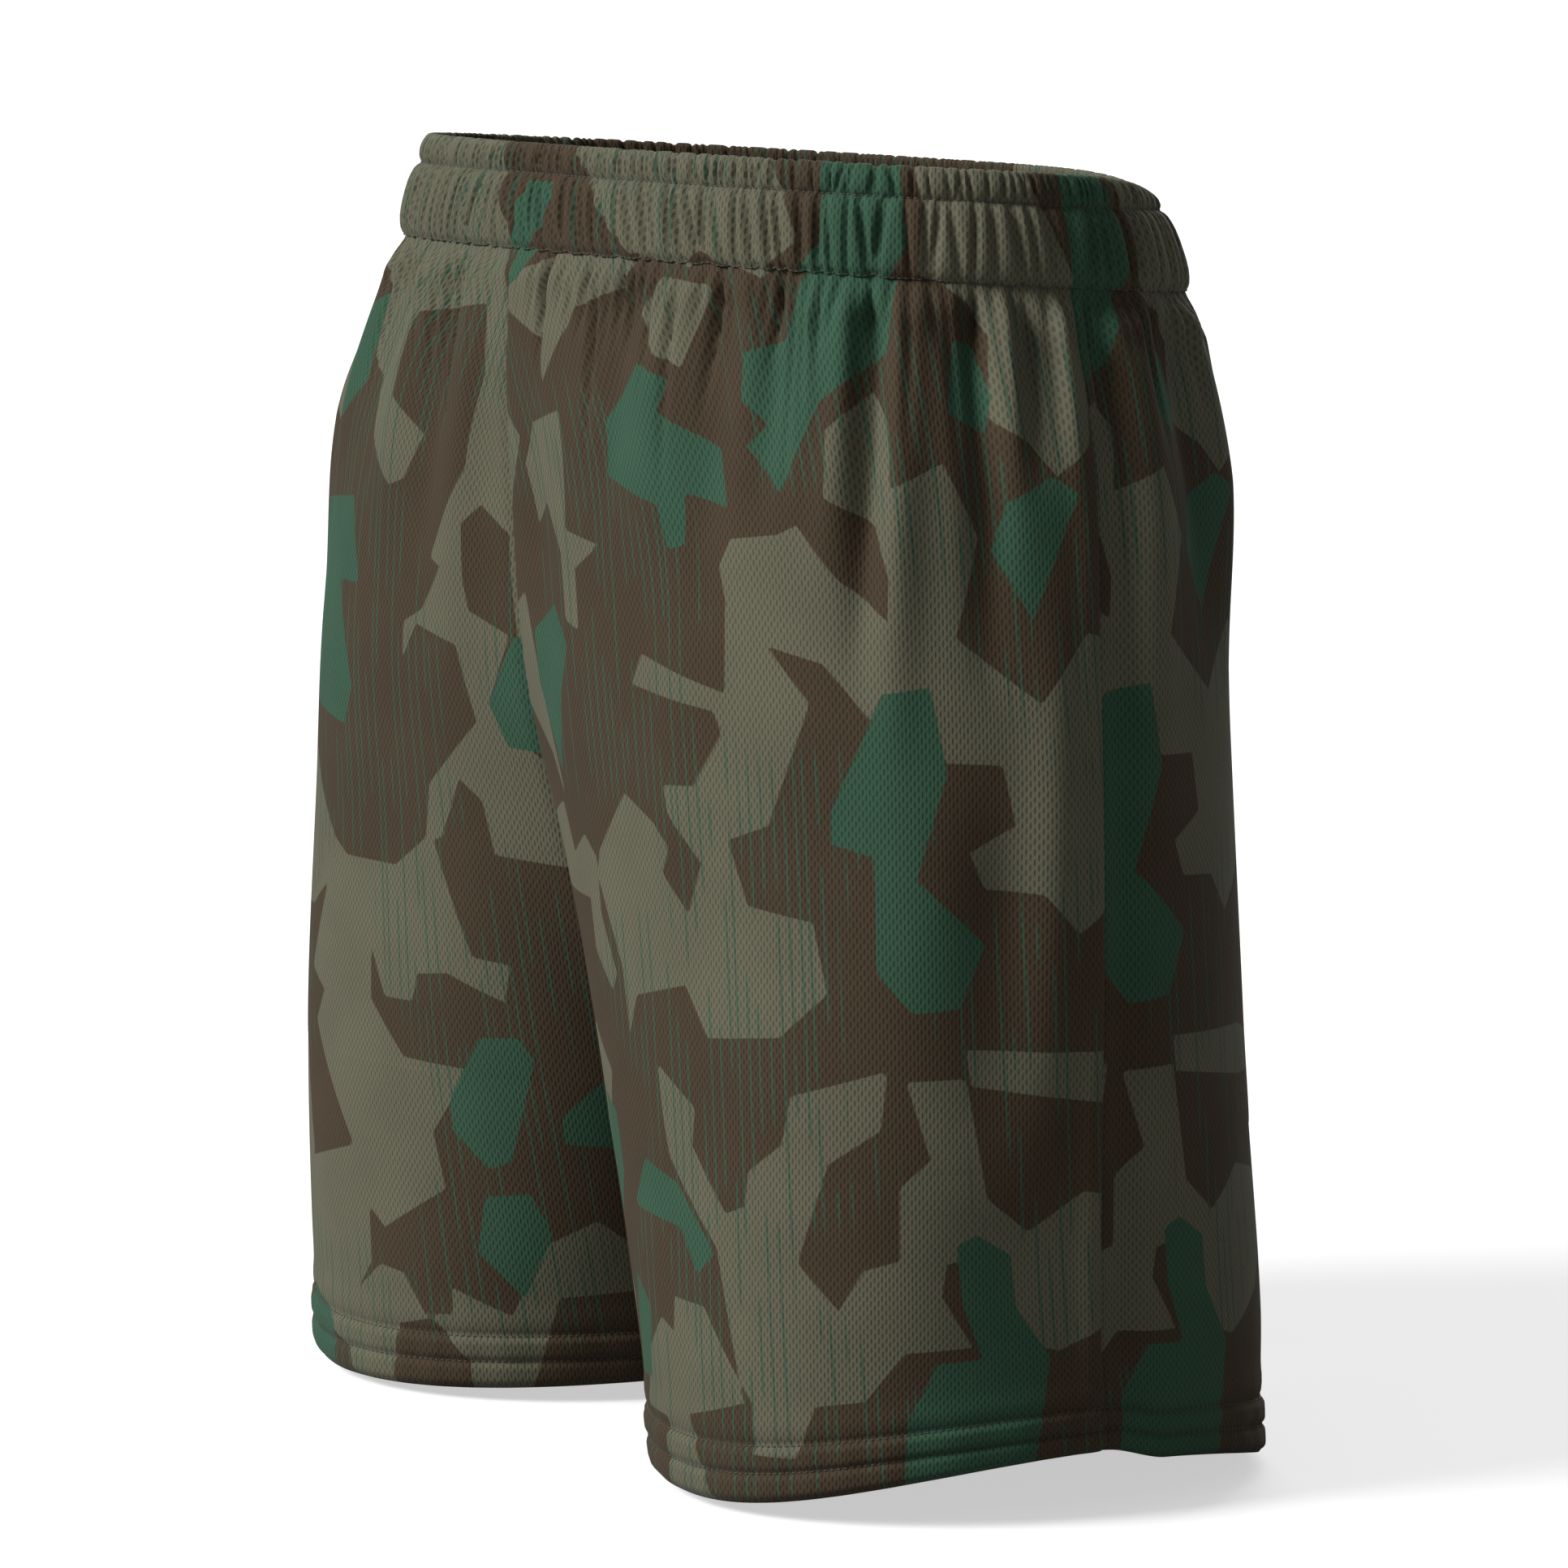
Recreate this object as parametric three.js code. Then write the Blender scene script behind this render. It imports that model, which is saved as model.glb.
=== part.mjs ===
// Camouflage mesh sports shorts with a gathered elastic waistband, side pockets and double-stitched hems.
// Millimetres, +Z up. The origin is the centre of the waist opening, the front faces -Y and the wearer's
// left is +X. The shorts are built as if worn: the waist is held open and both legs hang below it.
import * as THREE from 'three';

// ---------------------------------------------------------------- driving dimensions (mm)
const outseam = 510;            // waist rim down to the hem, at the front
const bandHeight = 42;          // waistband, from the rim to the waist seam
const headerHeight = 11;        // stitched header above the elastic
const rimWidth = 402;
const rimDepth = 231;
const waistWidth = 414;
const waistDepth = 250;
const hipWidth = 506;
const hipDepth = 246;
const hipDrop = 190;            // rim down to the hip line
const thighDrop = 270;
const crotchDrop = 375;         // rim down to the crotch, where the inseams start
const thighDepth = 241;
const hemDepth = 248;
const hemWidth = 212;           // one leg opening, from inseam to side seam
const legGap = 66;              // clear space between the two hems
const sideRise = 22;            // the hem is higher at the side seam than in front
const inseamRise = 4;
const backDrop = 14;            // the rim is lower at the back than in front

const cloth = 1.2;              // mesh fabric
const facing = 1.0;             // turned-up hem and folded seam allowances
const joint = 0.3;              // clearance where two pieces meet edge to edge
const lining = 0.5;             // clearance between a panel and what lies against it
const seamWidth = 5;            // seam allowance on each side of a seam
const hemHeight = 24;           // turned-up hem
const hemStitches = [12, 23];   // heights of the two stitch rows above the hem's edge
const thread = 0.35;            // radius of a stitch row
const elasticGap = 3.5;         // the elastic's clearance above and below, inside its channel
const elasticThickness = 1.6;
const casingWall = 0.9;

const pocketTop = 62;           // rim down to the top of the pocket bag
const pocketBottom = 232;
const pocketReach = 128;        // how far the bag reaches forward from the side seam
const pocketEdge = 9;           // the bag's back edge, forward of the side seam
const pocketDepth = 7;          // the bag's outer layer, in from the front panel's face
const pocketSpace = 1.4;        // between the bag's two layers
const pocketCloth = 0.8;

const labelWidth = 34;
const labelHeight = 44;
const labelThickness = 0.8;
const labelInset = 6;           // in from the back panel's face, at the label's lower edge
const labelGap = 2;             // below the waist seam

// ---------------------------------------------------------------- body shape
// One cross-section per height: side is the side seam's x, inner is the inseam's x (negative where the two
// leg tubes still run into each other), depth is front to back, y is the section's centre, round is the
// superellipse exponent and drop is how far the back lies lower than the middle.
const sections = [
  { z: 0, side: rimWidth / 2, inner: -rimWidth / 2, depth: rimDepth, y: 0, round: 2.0, drop: backDrop / 2 },
  {
    z: -bandHeight,
    side: waistWidth / 2,
    inner: -waistWidth / 2,
    depth: waistDepth,
    y: 3,
    round: 2.2,
    drop: backDrop * 0.65,
  },
  {
    z: -(bandHeight + hipDrop) / 2,
    side: (waistWidth + 2 * hipWidth) / 6,
    inner: -128,
    depth: (waistDepth + hipDepth) / 2,
    y: -5,
    round: 2.3,
    drop: backDrop / 3,
  },
  { z: -hipDrop, side: hipWidth / 2 - 2, inner: -92, depth: hipDepth, y: -10, round: 2.2, drop: backDrop / 8 },
  { z: -thighDrop, side: hipWidth / 2, inner: -45, depth: thighDepth, y: -10, round: 2.2, drop: 0 },
  { z: -crotchDrop, side: hipWidth / 2, inner: joint / 2, depth: thighDepth, y: -9, round: 2.2, drop: 0 },
  { z: -outseam, side: legGap / 2 + hemWidth, inner: legGap / 2, depth: hemDepth, y: -3, round: 2.1, drop: 0 },
];

// A smooth curve through the sections' values, by cubic Hermite pieces.
function slopeAt(k, key) {
  const a = sections[Math.max(k - 1, 0)];
  const b = sections[Math.min(k + 1, sections.length - 1)];
  return (b[key] - a[key]) / (b.z - a.z);
}

function sectionAt(z) {
  let k = 0;
  while (k < sections.length - 2 && z < sections[k + 1].z) k += 1;
  const a = sections[k];
  const b = sections[k + 1];
  const span = b.z - a.z;
  const t = (z - a.z) / span;
  const result = {};
  for (const key of ['side', 'inner', 'depth', 'y', 'round', 'drop']) {
    const startSlope = key === 'round' || k === 0 ? (b[key] - a[key]) / span : slopeAt(k, key);
    const endSlope = key === 'round' || k === 0 ? startSlope : slopeAt(k + 1, key);
    result[key] =
      (2 * t ** 3 - 3 * t ** 2 + 1) * a[key] +
      (t ** 3 - 2 * t ** 2 + t) * span * startSlope +
      (-2 * t ** 3 + 3 * t ** 2) * b[key] +
      (t ** 3 - t ** 2) * span * endSlope;
  }
  return result;
}

// A point on the left half of the body. The angle is 0 at the side seam, negative in front, and positive or
// negative pi at the inseam. offset is positive outwards.
function bodyPoint(z, angle, offset) {
  const s = sectionAt(z);
  const halfWidth = (s.side - s.inner) / 2;
  const middle = (s.side + s.inner) / 2;
  const halfDepth = s.depth / 2;
  const c = Math.cos(angle);
  const n = Math.sin(angle);
  const alongX = Math.sign(c) * Math.abs(c) ** (2 / s.round);
  const alongY = Math.sign(n) * Math.abs(n) ** (2 / s.round);
  const outX = (Math.sign(c) * Math.abs(c) ** (2 - 2 / s.round)) / halfWidth;
  const outY = (Math.sign(n) * Math.abs(n) ** (2 - 2 / s.round)) / halfDepth;
  const length = Math.hypot(outX, outY);
  const down = Math.max(0, (-z - crotchDrop) / (outseam - crotchDrop)) ** 1.5;
  const rise = down * (sideRise * Math.max(0, c) ** 2 + inseamRise * Math.max(0, -c) ** 2);
  return new THREE.Vector3(
    middle + halfWidth * alongX + (outX / length) * offset,
    s.y + halfDepth * alongY + (outY / length) * offset,
    z - s.drop * alongY + rise,
  );
}

const tolerance = 1e-6;

// The angle of a half section's inner edge: the centre seam at x = gap, or the inseam once the legs part.
function innerAngle(z, gap) {
  const s = sectionAt(z);
  const halfWidth = (s.side - s.inner) / 2;
  const reach = ((s.side + s.inner) / 2 - gap) / halfWidth;
  const inseam = Math.PI - edgeAngle(z, gap);
  if (reach > 1 - tolerance) return inseam;
  return Math.min(inseam, Math.acos(-Math.sign(reach) * Math.abs(reach) ** (s.round / 2)));
}

// The small angle at a side seam or inseam that leaves half of the joint's clearance.
function edgeAngle(z, gap) {
  const s = sectionAt(z);
  return Math.asin((gap / (s.depth / 2)) ** (s.round / 2));
}

// Angles of one row of a quarter, from the inner edge to the side seam: the edges, a column seamWidth in
// from each, and even columns between.
function rowAngles(z, columns, innerGap, sideGap) {
  const from = innerAngle(z, innerGap);
  const to = sideGap > 0 ? edgeAngle(z, sideGap) : 0;
  const samples = 240;
  const angles = [];
  const lengths = [0];
  for (let k = 0; k <= samples; k += 1) {
    angles.push(from + ((to - from) * k) / samples);
    if (k > 0) {
      const step = bodyPoint(z, angles[k], 0).distanceTo(bodyPoint(z, angles[k - 1], 0));
      lengths.push(lengths[k - 1] + step);
    }
  }
  const total = lengths[samples];
  const stops = [0, seamWidth];
  for (let k = 1; k < columns; k += 1) stops.push(seamWidth + ((total - 2 * seamWidth) * k) / columns);
  stops.push(total - seamWidth, total);
  return stops.map((stop) => angleAtLength(angles, lengths, stop));
}

function angleAtLength(angles, lengths, stop) {
  let k = 1;
  while (k < lengths.length - 1 && lengths[k] < stop) k += 1;
  const t = (stop - lengths[k - 1]) / (lengths[k] - lengths[k - 1]);
  return angles[k - 1] + (angles[k] - angles[k - 1]) * t;
}

// ---------------------------------------------------------------- closed meshes
function closedGeometry(points, triangles) {
  let volume = 0;
  const cross = new THREE.Vector3();
  for (const [a, b, c] of triangles) volume += points[a].dot(cross.crossVectors(points[b], points[c]));
  const index = triangles.flatMap(([a, b, c]) => (volume > 0 ? [a, b, c] : [a, c, b]));
  const geometry = new THREE.BufferGeometry();
  geometry.setAttribute('position', new THREE.Float32BufferAttribute(points.flatMap((p) => p.toArray()), 3));
  geometry.setIndex(index);
  geometry.computeVertexNormals();
  return geometry;
}

// A sheet with thickness: two grids of the same size, joined round their edges.
function sheetGeometry(outer, inner) {
  const rows = outer.length;
  const columns = outer[0].length;
  const points = [...outer.flat(), ...inner.flat()];
  const at = (i, j) => i * columns + j;
  const under = rows * columns;
  const triangles = [];
  const quad = (a, b, c, d) => triangles.push([a, b, c], [a, c, d]);
  for (let i = 0; i < rows - 1; i += 1) {
    for (let j = 0; j < columns - 1; j += 1) {
      quad(at(i, j), at(i + 1, j), at(i + 1, j + 1), at(i, j + 1));
      quad(under + at(i, j + 1), under + at(i + 1, j + 1), under + at(i + 1, j), under + at(i, j));
    }
  }
  const rim = [];
  for (let j = 0; j < columns - 1; j += 1) rim.push(at(0, j));
  for (let i = 0; i < rows - 1; i += 1) rim.push(at(i, columns - 1));
  for (let j = columns - 1; j > 0; j -= 1) rim.push(at(rows - 1, j));
  for (let i = rows - 1; i > 0; i -= 1) rim.push(at(i, 0));
  for (let k = 0; k < rim.length; k += 1) {
    const next = rim[(k + 1) % rim.length];
    quad(rim[k], next, under + next, under + rim[k]);
  }
  return closedGeometry(points, triangles);
}

// A section swept along a list of stations, either round a closed loop or capped at both ends.
function sweptGeometry(stations, isLoop, capOutline) {
  const size = stations[0].length;
  const points = stations.flat();
  const triangles = [];
  const last = isLoop ? stations.length : stations.length - 1;
  for (let i = 0; i < last; i += 1) {
    const here = i * size;
    const there = ((i + 1) % stations.length) * size;
    for (let j = 0; j < size; j += 1) {
      const k = (j + 1) % size;
      triangles.push([here + j, there + j, there + k], [here + j, there + k, here + k]);
    }
  }
  if (!isLoop) {
    const end = (stations.length - 1) * size;
    for (const [a, b, c] of THREE.ShapeUtils.triangulateShape(capOutline, [])) {
      triangles.push([a, b, c], [end + c, end + b, end + a]);
    }
  }
  return closedGeometry(points, triangles);
}

const mirrored = (point) => new THREE.Vector3(-point.x, point.y, point.z);
const mirroredGrid = (grid) => grid.map((row) => row.map(mirrored));

// ---------------------------------------------------------------- rows and columns
const panelColumns = 11;
const waistColumns = 11;
const rowsAboveCrotch = 12;
const rowsBelowCrotch = 4;
const panelTop = -bandHeight - joint;

function rowsToHem() {
  const rows = [];
  for (let k = rowsAboveCrotch; k >= 0; k -= 1) {
    const t = k / rowsAboveCrotch;
    rows.push(-crotchDrop + (panelTop + crotchDrop) * (0.4 * t + 0.6 * t * t));
  }
  const hemTop = -outseam + hemHeight;
  for (let k = 1; k <= rowsBelowCrotch; k += 1) {
    rows.push(-crotchDrop + ((hemTop + crotchDrop) * k) / rowsBelowCrotch);
  }
  rows.push(-outseam + hemStitches[1], -outseam + hemStitches[0], -outseam);
  return rows;
}

const panelRows = rowsToHem();
const seamRows = panelRows.filter((z) => z >= -outseam + hemHeight);

// One row of a left quarter as points: side is -1 for the front and 1 for the back.
function quarterRow(z, side, offset, gap) {
  return rowAngles(z, panelColumns, gap, gap).map((angle) => bodyPoint(z, side * angle, offset));
}

// A full row round one leg, or round the left half of the waist.
function legRow(z, offset) {
  const front = quarterRow(z, -1, offset, 0);
  const back = quarterRow(z, 1, offset, 0);
  back.reverse();
  return [...front, ...back.slice(1, -1)];
}

// ---------------------------------------------------------------- panels and seams
function panelGeometry(side, isRight) {
  let outer = panelRows.map((z) => quarterRow(z, side, 0, joint / 2));
  let inner = panelRows.map((z) => quarterRow(z, side, -cloth, joint / 2));
  if (isRight) {
    outer = mirroredGrid(outer);
    inner = mirroredGrid(inner);
  }
  return sheetGeometry(outer, inner);
}

// A folded allowance behind a side seam or an inseam: column is the row's edge column, reach is the column
// seamWidth away from it.
function legSeamGeometry(rows, atSide, isRight) {
  const layer = (offset) =>
    rows.map((z) => {
      const angles = rowAngles(z, panelColumns, 0, 0);
      const edge = atSide ? angles.length - 1 : 0;
      const reach = atSide ? angles.length - 2 : 1;
      return [
        bodyPoint(z, -angles[reach], offset),
        bodyPoint(z, -angles[edge], offset),
        bodyPoint(z, angles[reach], offset),
      ];
    });
  const face = -cloth - lining;
  let outer = layer(face);
  let inner = layer(face - facing);
  if (isRight) {
    outer = mirroredGrid(outer);
    inner = mirroredGrid(inner);
  }
  return sheetGeometry(outer, inner);
}

// The allowance behind a centre seam spans both halves. On the centre plane the offset runs straight in,
// lengthened where the halves meet at a sharper angle. It stops where that angle leaves no room.
const sharpestSeam = 0.5;

function centreSeamGeometry(side) {
  const rowPoints = (z, offset) => {
    const angles = rowAngles(z, panelColumns, 0, 0);
    const near = bodyPoint(z, side * angles[1], offset);
    const face = bodyPoint(z, side * angles[0], 0);
    const inwards = bodyPoint(z, side * angles[0], -1).y - face.y;
    const middle = new THREE.Vector3(0, face.y - offset / inwards, face.z);
    return [near, middle, mirrored(near)];
  };
  const steep = (z) => {
    const angle = side * rowAngles(z, panelColumns, 0, 0)[0];
    return Math.abs(bodyPoint(z, angle, -1).y - bodyPoint(z, angle, 0).y) > sharpestSeam;
  };
  const rows = seamRows.filter((z) => z > -crotchDrop && steep(z));
  const face = -cloth - lining;
  return sheetGeometry(
    rows.map((z) => rowPoints(z, face)),
    rows.map((z) => rowPoints(z, face - facing)),
  );
}

function hemGeometry(isRight) {
  const heights = [-outseam + hemHeight, -outseam + hemStitches[0], -outseam];
  const face = -cloth - lining;
  const outer = heights.map((z) => legRow(z, face));
  const inner = heights.map((z) => legRow(z, face - facing));
  const stations = outer[0].map((_, j) => [...outer.map((row) => row[j]), ...inner.map((row) => row[j]).reverse()]);
  return sweptGeometry(isRight ? mirroredGrid(stations) : stations, true);
}

// ---------------------------------------------------------------- stitch rows
// A stitch row is one closed thread that rides just outside the surface, offset from it by clearance.
function threadStation(z, angle, face) {
  const centre = face + joint + thread;
  return [
    bodyPoint(z, angle, centre + thread),
    bodyPoint(z + thread, angle, centre),
    bodyPoint(z, angle, centre - thread),
    bodyPoint(z - thread, angle, centre),
  ];
}

function legAngles(z) {
  const angles = rowAngles(z, panelColumns, 0, 0);
  const front = angles.map((angle) => -angle);
  const back = angles.slice(1, -1).reverse();
  return [...front, ...back];
}

function hemStitchGeometry(height, isRight) {
  const z = -outseam + height;
  const stations = legAngles(z).map((angle) => threadStation(z, angle, 0));
  return sweptGeometry(isRight ? mirroredGrid(stations) : stations, true);
}

// Angles right round the waist: the left half's angles from front to back, for the left and then the right.
function waistAngles() {
  const quarter = [];
  for (let k = 0; k <= waistColumns; k += 1) quarter.push(Math.PI / 2 * (1 - k / waistColumns));
  return quarter;
}

// Stations round a half waistband: side -1 is the front and 1 the back; makeStation gives one section.
function halfWaist(side, gap, makeStation) {
  const angles = waistAngles();
  angles[angles.length - 1] = gap > 0 ? edgeAngle(-bandHeight / 2, gap) : 0;
  const left = angles.map((angle) => makeStation(side * angle));
  const right = left.slice(1).map((station) => station.map(mirrored));
  right.reverse();
  return [...right, ...left];
}

function fullWaist(makeStation) {
  const front = halfWaist(-1, 0, makeStation);
  const back = halfWaist(1, 0, makeStation);
  back.reverse();
  return [...front, ...back.slice(1, -1)];
}

function waistStitchGeometry(depth, face) {
  return sweptGeometry(fullWaist((angle) => threadStation(-depth, angle, face)), true);
}

// ---------------------------------------------------------------- waistband
// The casing folds over the top: a flat header, then two walls that bulge round the elastic and close again
// on the waist seam. The outline is listed down the outside, up inside the channel and back over the inside,
// and turned round at the end so that it runs counter-clockwise.
const channelHeight = bandHeight - headerHeight;
const elasticWidth = channelHeight - 2 * elasticGap;
const elasticRoom = elasticThickness / 2 + lining;
const bulge = 1.6;                            // how far the channel's walls belly out over the elastic
const headerFace = casingWall + joint / 2;    // the header is two layers thick
const seamFace = casingWall + lining;

function channelDepth(share) {
  return -(headerHeight + channelHeight * share);
}

function casingOutline() {
  const belly = elasticRoom + bulge;
  const outside = [
    [0, 0],
    [headerFace, -headerFace],
    [headerFace, -headerHeight + 1],
    [casingWall, -headerHeight],
    [belly + casingWall - 0.8, channelDepth(0.13)],
    [belly + casingWall, channelDepth(0.35)],
    [belly + casingWall, channelDepth(0.62)],
    [belly + casingWall - 1, channelDepth(0.88)],
    [seamFace, -bandHeight],
  ];
  const channel = [
    [lining, -bandHeight],
    [belly - 1, channelDepth(0.88)],
    [belly, channelDepth(0.62)],
    [belly, channelDepth(0.35)],
    [belly - 0.8, channelDepth(0.13)],
    [0, channelDepth(0.04)],
  ];
  const flip = ([d, z]) => [-d, z];
  return [
    ...outside,
    ...channel,
    ...channel.slice(0, -1).reverse().map(flip),
    ...outside.slice(1).reverse().map(flip),
  ].reverse();
}

const outline = casingOutline();
const outlineShape = outline.map(([d, z]) => new THREE.Vector2(d, z));

function casingGeometry(side) {
  const station = (angle) => outline.map(([d, z]) => bodyPoint(z, angle, d));
  return sweptGeometry(halfWaist(side, joint / 2, station), false, outlineShape);
}

function elasticGeometry() {
  const middle = channelDepth(0.5);
  const half = elasticThickness / 2;
  const corners = [
    [half, middle + elasticWidth / 2],
    [half, middle - elasticWidth / 2],
    [-half, middle - elasticWidth / 2],
    [-half, middle + elasticWidth / 2],
  ];
  return sweptGeometry(fullWaist((angle) => corners.map(([d, z]) => bodyPoint(z, angle, d))), true);
}

// ---------------------------------------------------------------- pockets and label
const pocketRows = 8;
const pocketColumns = 6;

// A layer of a side pocket's bag. The bag hangs from the side seam and reaches forward inside the front panel.
function pocketGeometry(depth, isRight) {
  const layer = (offset) => {
    const grid = [];
    for (let i = 0; i <= pocketRows; i += 1) {
      const share = i / pocketRows;
      const z = -pocketTop - (pocketBottom - pocketTop) * share;
      const reach = pocketReach * (0.55 + 0.45 * Math.sin(Math.PI * Math.min(1, share * 0.9 + 0.1)));
      const radius = sectionAt(z).depth / 2;
      const row = [];
      for (let j = 0; j <= pocketColumns; j += 1) {
        const along = pocketEdge + ((reach - pocketEdge) * j) / pocketColumns;
        row.push(bodyPoint(z, -along / radius, -offset));
      }
      grid.push(row);
    }
    return isRight ? mirroredGrid(grid) : grid;
  };
  return sheetGeometry(layer(depth), layer(depth + pocketCloth));
}

function labelMesh(material) {
  const geometry = new THREE.BoxGeometry(labelWidth, labelThickness, labelHeight);
  const mesh = new THREE.Mesh(geometry, material);
  const lowest = panelTop - labelHeight;
  const behind = bodyPoint(lowest, innerAngle(lowest, 0), -labelInset);
  const top = bodyPoint(panelTop, innerAngle(panelTop, 0), 0);
  mesh.position.set(0, behind.y, top.z - labelGap - labelHeight / 2);
  return mesh;
}

// ---------------------------------------------------------------- materials and assembly
const camouflage = new THREE.MeshStandardMaterial({ color: 0x544a3c, roughness: 0.85, metalness: 0 });
const camouflageBand = new THREE.MeshStandardMaterial({ color: 0x4d4a3c, roughness: 0.85, metalness: 0 });
const elasticWebbing = new THREE.MeshStandardMaterial({ color: 0xd8d6cf, roughness: 0.8, metalness: 0 });
const seamCloth = new THREE.MeshStandardMaterial({ color: 0x47433a, roughness: 0.9, metalness: 0 });
const pocketMesh = new THREE.MeshStandardMaterial({ color: 0x3e3c34, roughness: 0.9, metalness: 0 });
const stitching = new THREE.MeshStandardMaterial({ color: 0x3a362d, roughness: 0.7, metalness: 0 });
const satin = new THREE.MeshStandardMaterial({ color: 0xe4e2dc, roughness: 0.45, metalness: 0 });

const shorts = new THREE.Group();

function add(name, geometry, material) {
  const mesh = new THREE.Mesh(geometry, material);
  mesh.name = name;
  shorts.add(mesh);
}

for (const isRight of [false, true]) {
  const hand = isRight ? 'right' : 'left';
  add(`front_panel_${hand}`, panelGeometry(-1, isRight), camouflage);
  add(`back_panel_${hand}`, panelGeometry(1, isRight), camouflage);
  add(`side_seam_${hand}`, legSeamGeometry(seamRows, true, isRight), seamCloth);
  const inseamRows = seamRows.filter((z) => z < -crotchDrop - seamWidth);
  add(`inseam_${hand}`, legSeamGeometry(inseamRows, false, isRight), seamCloth);
  add(`hem_${hand}`, hemGeometry(isRight), camouflage);
  add(`hem_stitch_lower_${hand}`, hemStitchGeometry(hemStitches[0], isRight), stitching);
  add(`hem_stitch_upper_${hand}`, hemStitchGeometry(hemStitches[1], isRight), stitching);
  add(`pocket_outer_${hand}`, pocketGeometry(pocketDepth, isRight), pocketMesh);
  add(`pocket_inner_${hand}`, pocketGeometry(pocketDepth + pocketCloth + pocketSpace, isRight), pocketMesh);
}

add('centre_front_seam', centreSeamGeometry(-1), seamCloth);
add('centre_back_seam', centreSeamGeometry(1), seamCloth);
add('waistband_front', casingGeometry(-1), camouflageBand);
add('waistband_back', casingGeometry(1), camouflageBand);
add('waistband_elastic', elasticGeometry(), elasticWebbing);
add('header_stitch', waistStitchGeometry(headerHeight, casingWall), stitching);
add('waist_seam_stitch', waistStitchGeometry(bandHeight - thread, seamFace + 0.2), stitching);

const label = labelMesh(satin);
label.name = 'care_label';
shorts.add(label);

export default shorts;
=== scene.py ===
"""Camouflage mesh sports shorts with a gathered elastic waistband, side pockets and double-stitched hems.

Metres, in the CAD model's frame: the origin is the centre of the waist opening, +Z is up, the front faces
-Y and the wearer's left is +X. A panel's points are placed by a depth below the rim and a distance along the
cloth from the side seam. Names that end in _MM, and every fold and patch, are in millimetres.
"""
import math

import bmesh
import bpy
import numpy as np
from mathutils import Matrix, Vector


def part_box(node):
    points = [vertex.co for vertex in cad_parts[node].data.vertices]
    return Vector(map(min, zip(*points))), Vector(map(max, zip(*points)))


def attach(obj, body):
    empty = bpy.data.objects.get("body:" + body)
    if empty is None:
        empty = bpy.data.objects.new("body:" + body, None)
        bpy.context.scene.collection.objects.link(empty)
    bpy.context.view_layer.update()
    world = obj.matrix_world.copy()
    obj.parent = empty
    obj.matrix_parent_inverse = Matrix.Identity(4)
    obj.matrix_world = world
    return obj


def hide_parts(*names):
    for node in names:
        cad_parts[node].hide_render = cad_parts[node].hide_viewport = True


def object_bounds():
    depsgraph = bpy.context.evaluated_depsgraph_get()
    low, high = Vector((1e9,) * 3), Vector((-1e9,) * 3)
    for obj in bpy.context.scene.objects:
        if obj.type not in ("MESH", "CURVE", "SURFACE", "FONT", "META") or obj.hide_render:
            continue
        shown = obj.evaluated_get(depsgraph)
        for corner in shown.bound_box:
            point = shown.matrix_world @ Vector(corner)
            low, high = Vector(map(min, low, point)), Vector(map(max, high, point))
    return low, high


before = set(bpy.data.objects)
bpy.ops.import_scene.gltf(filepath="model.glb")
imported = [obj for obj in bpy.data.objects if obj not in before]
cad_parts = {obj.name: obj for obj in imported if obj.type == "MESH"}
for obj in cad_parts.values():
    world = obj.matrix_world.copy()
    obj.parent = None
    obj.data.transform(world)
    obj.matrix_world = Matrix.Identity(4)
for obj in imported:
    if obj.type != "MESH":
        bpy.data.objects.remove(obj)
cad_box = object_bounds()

MM = 0.001

# ---- driving dimensions (m)
OUTSEAM = 0.510
BAND = 0.042                     # waistband, from the rim to the waist seam
HEADER = 0.011                   # stitched header above the elastic
CROTCH = 0.375                   # rim down to the crotch
HIP_WIDTH = 0.506
WAIST_WIDTH = 0.414
HEM = 0.024                      # turned-up hem
HEM_STITCHES = {"lower": 0.012, "upper": 0.023}
SIDE_RISE = 0.022                # the hem is higher at the side seam than in front
INSEAM_RISE = 0.004
CLOTH = 0.0008                   # thickness of the mesh fabric
THREAD = 0.00032                 # radius of a stitch
HANDS = {"left": 1, "right": -1}
FACES = {"front": -1, "back": 1}
UP = np.array([0, 0, 1.0])

# One cross-section per height: z, the side seam's x, the inner edge's x, depth front to back, the centre's
# y, the superellipse exponent and how far the back lies lower than the middle.
SECTIONS = np.array([
    (0.0, 0.201, -0.201, 0.231, 0.0, 2.0, 0.0070),
    (-BAND, WAIST_WIDTH / 2, -WAIST_WIDTH / 2, 0.250, 0.003, 2.2, 0.0091),
    (-0.116, (WAIST_WIDTH + 2 * HIP_WIDTH) / 6, -0.128, 0.248, -0.005, 2.3, 0.0047),
    (-0.190, HIP_WIDTH / 2 - 0.002, -0.092, 0.246, -0.010, 2.2, 0.0018),
    (-0.270, HIP_WIDTH / 2, -0.045, 0.241, -0.010, 2.2, 0.0),
    (-CROTCH, HIP_WIDTH / 2, 0.00015, 0.241, -0.009, 2.2, 0.0),
    (-OUTSEAM, 0.245, 0.033, 0.248, -0.003, 2.1, 0.0),
])
Z, SIDE, INNER, DEPTH, CENTRE, ROUND, DROP = range(7)


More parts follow.
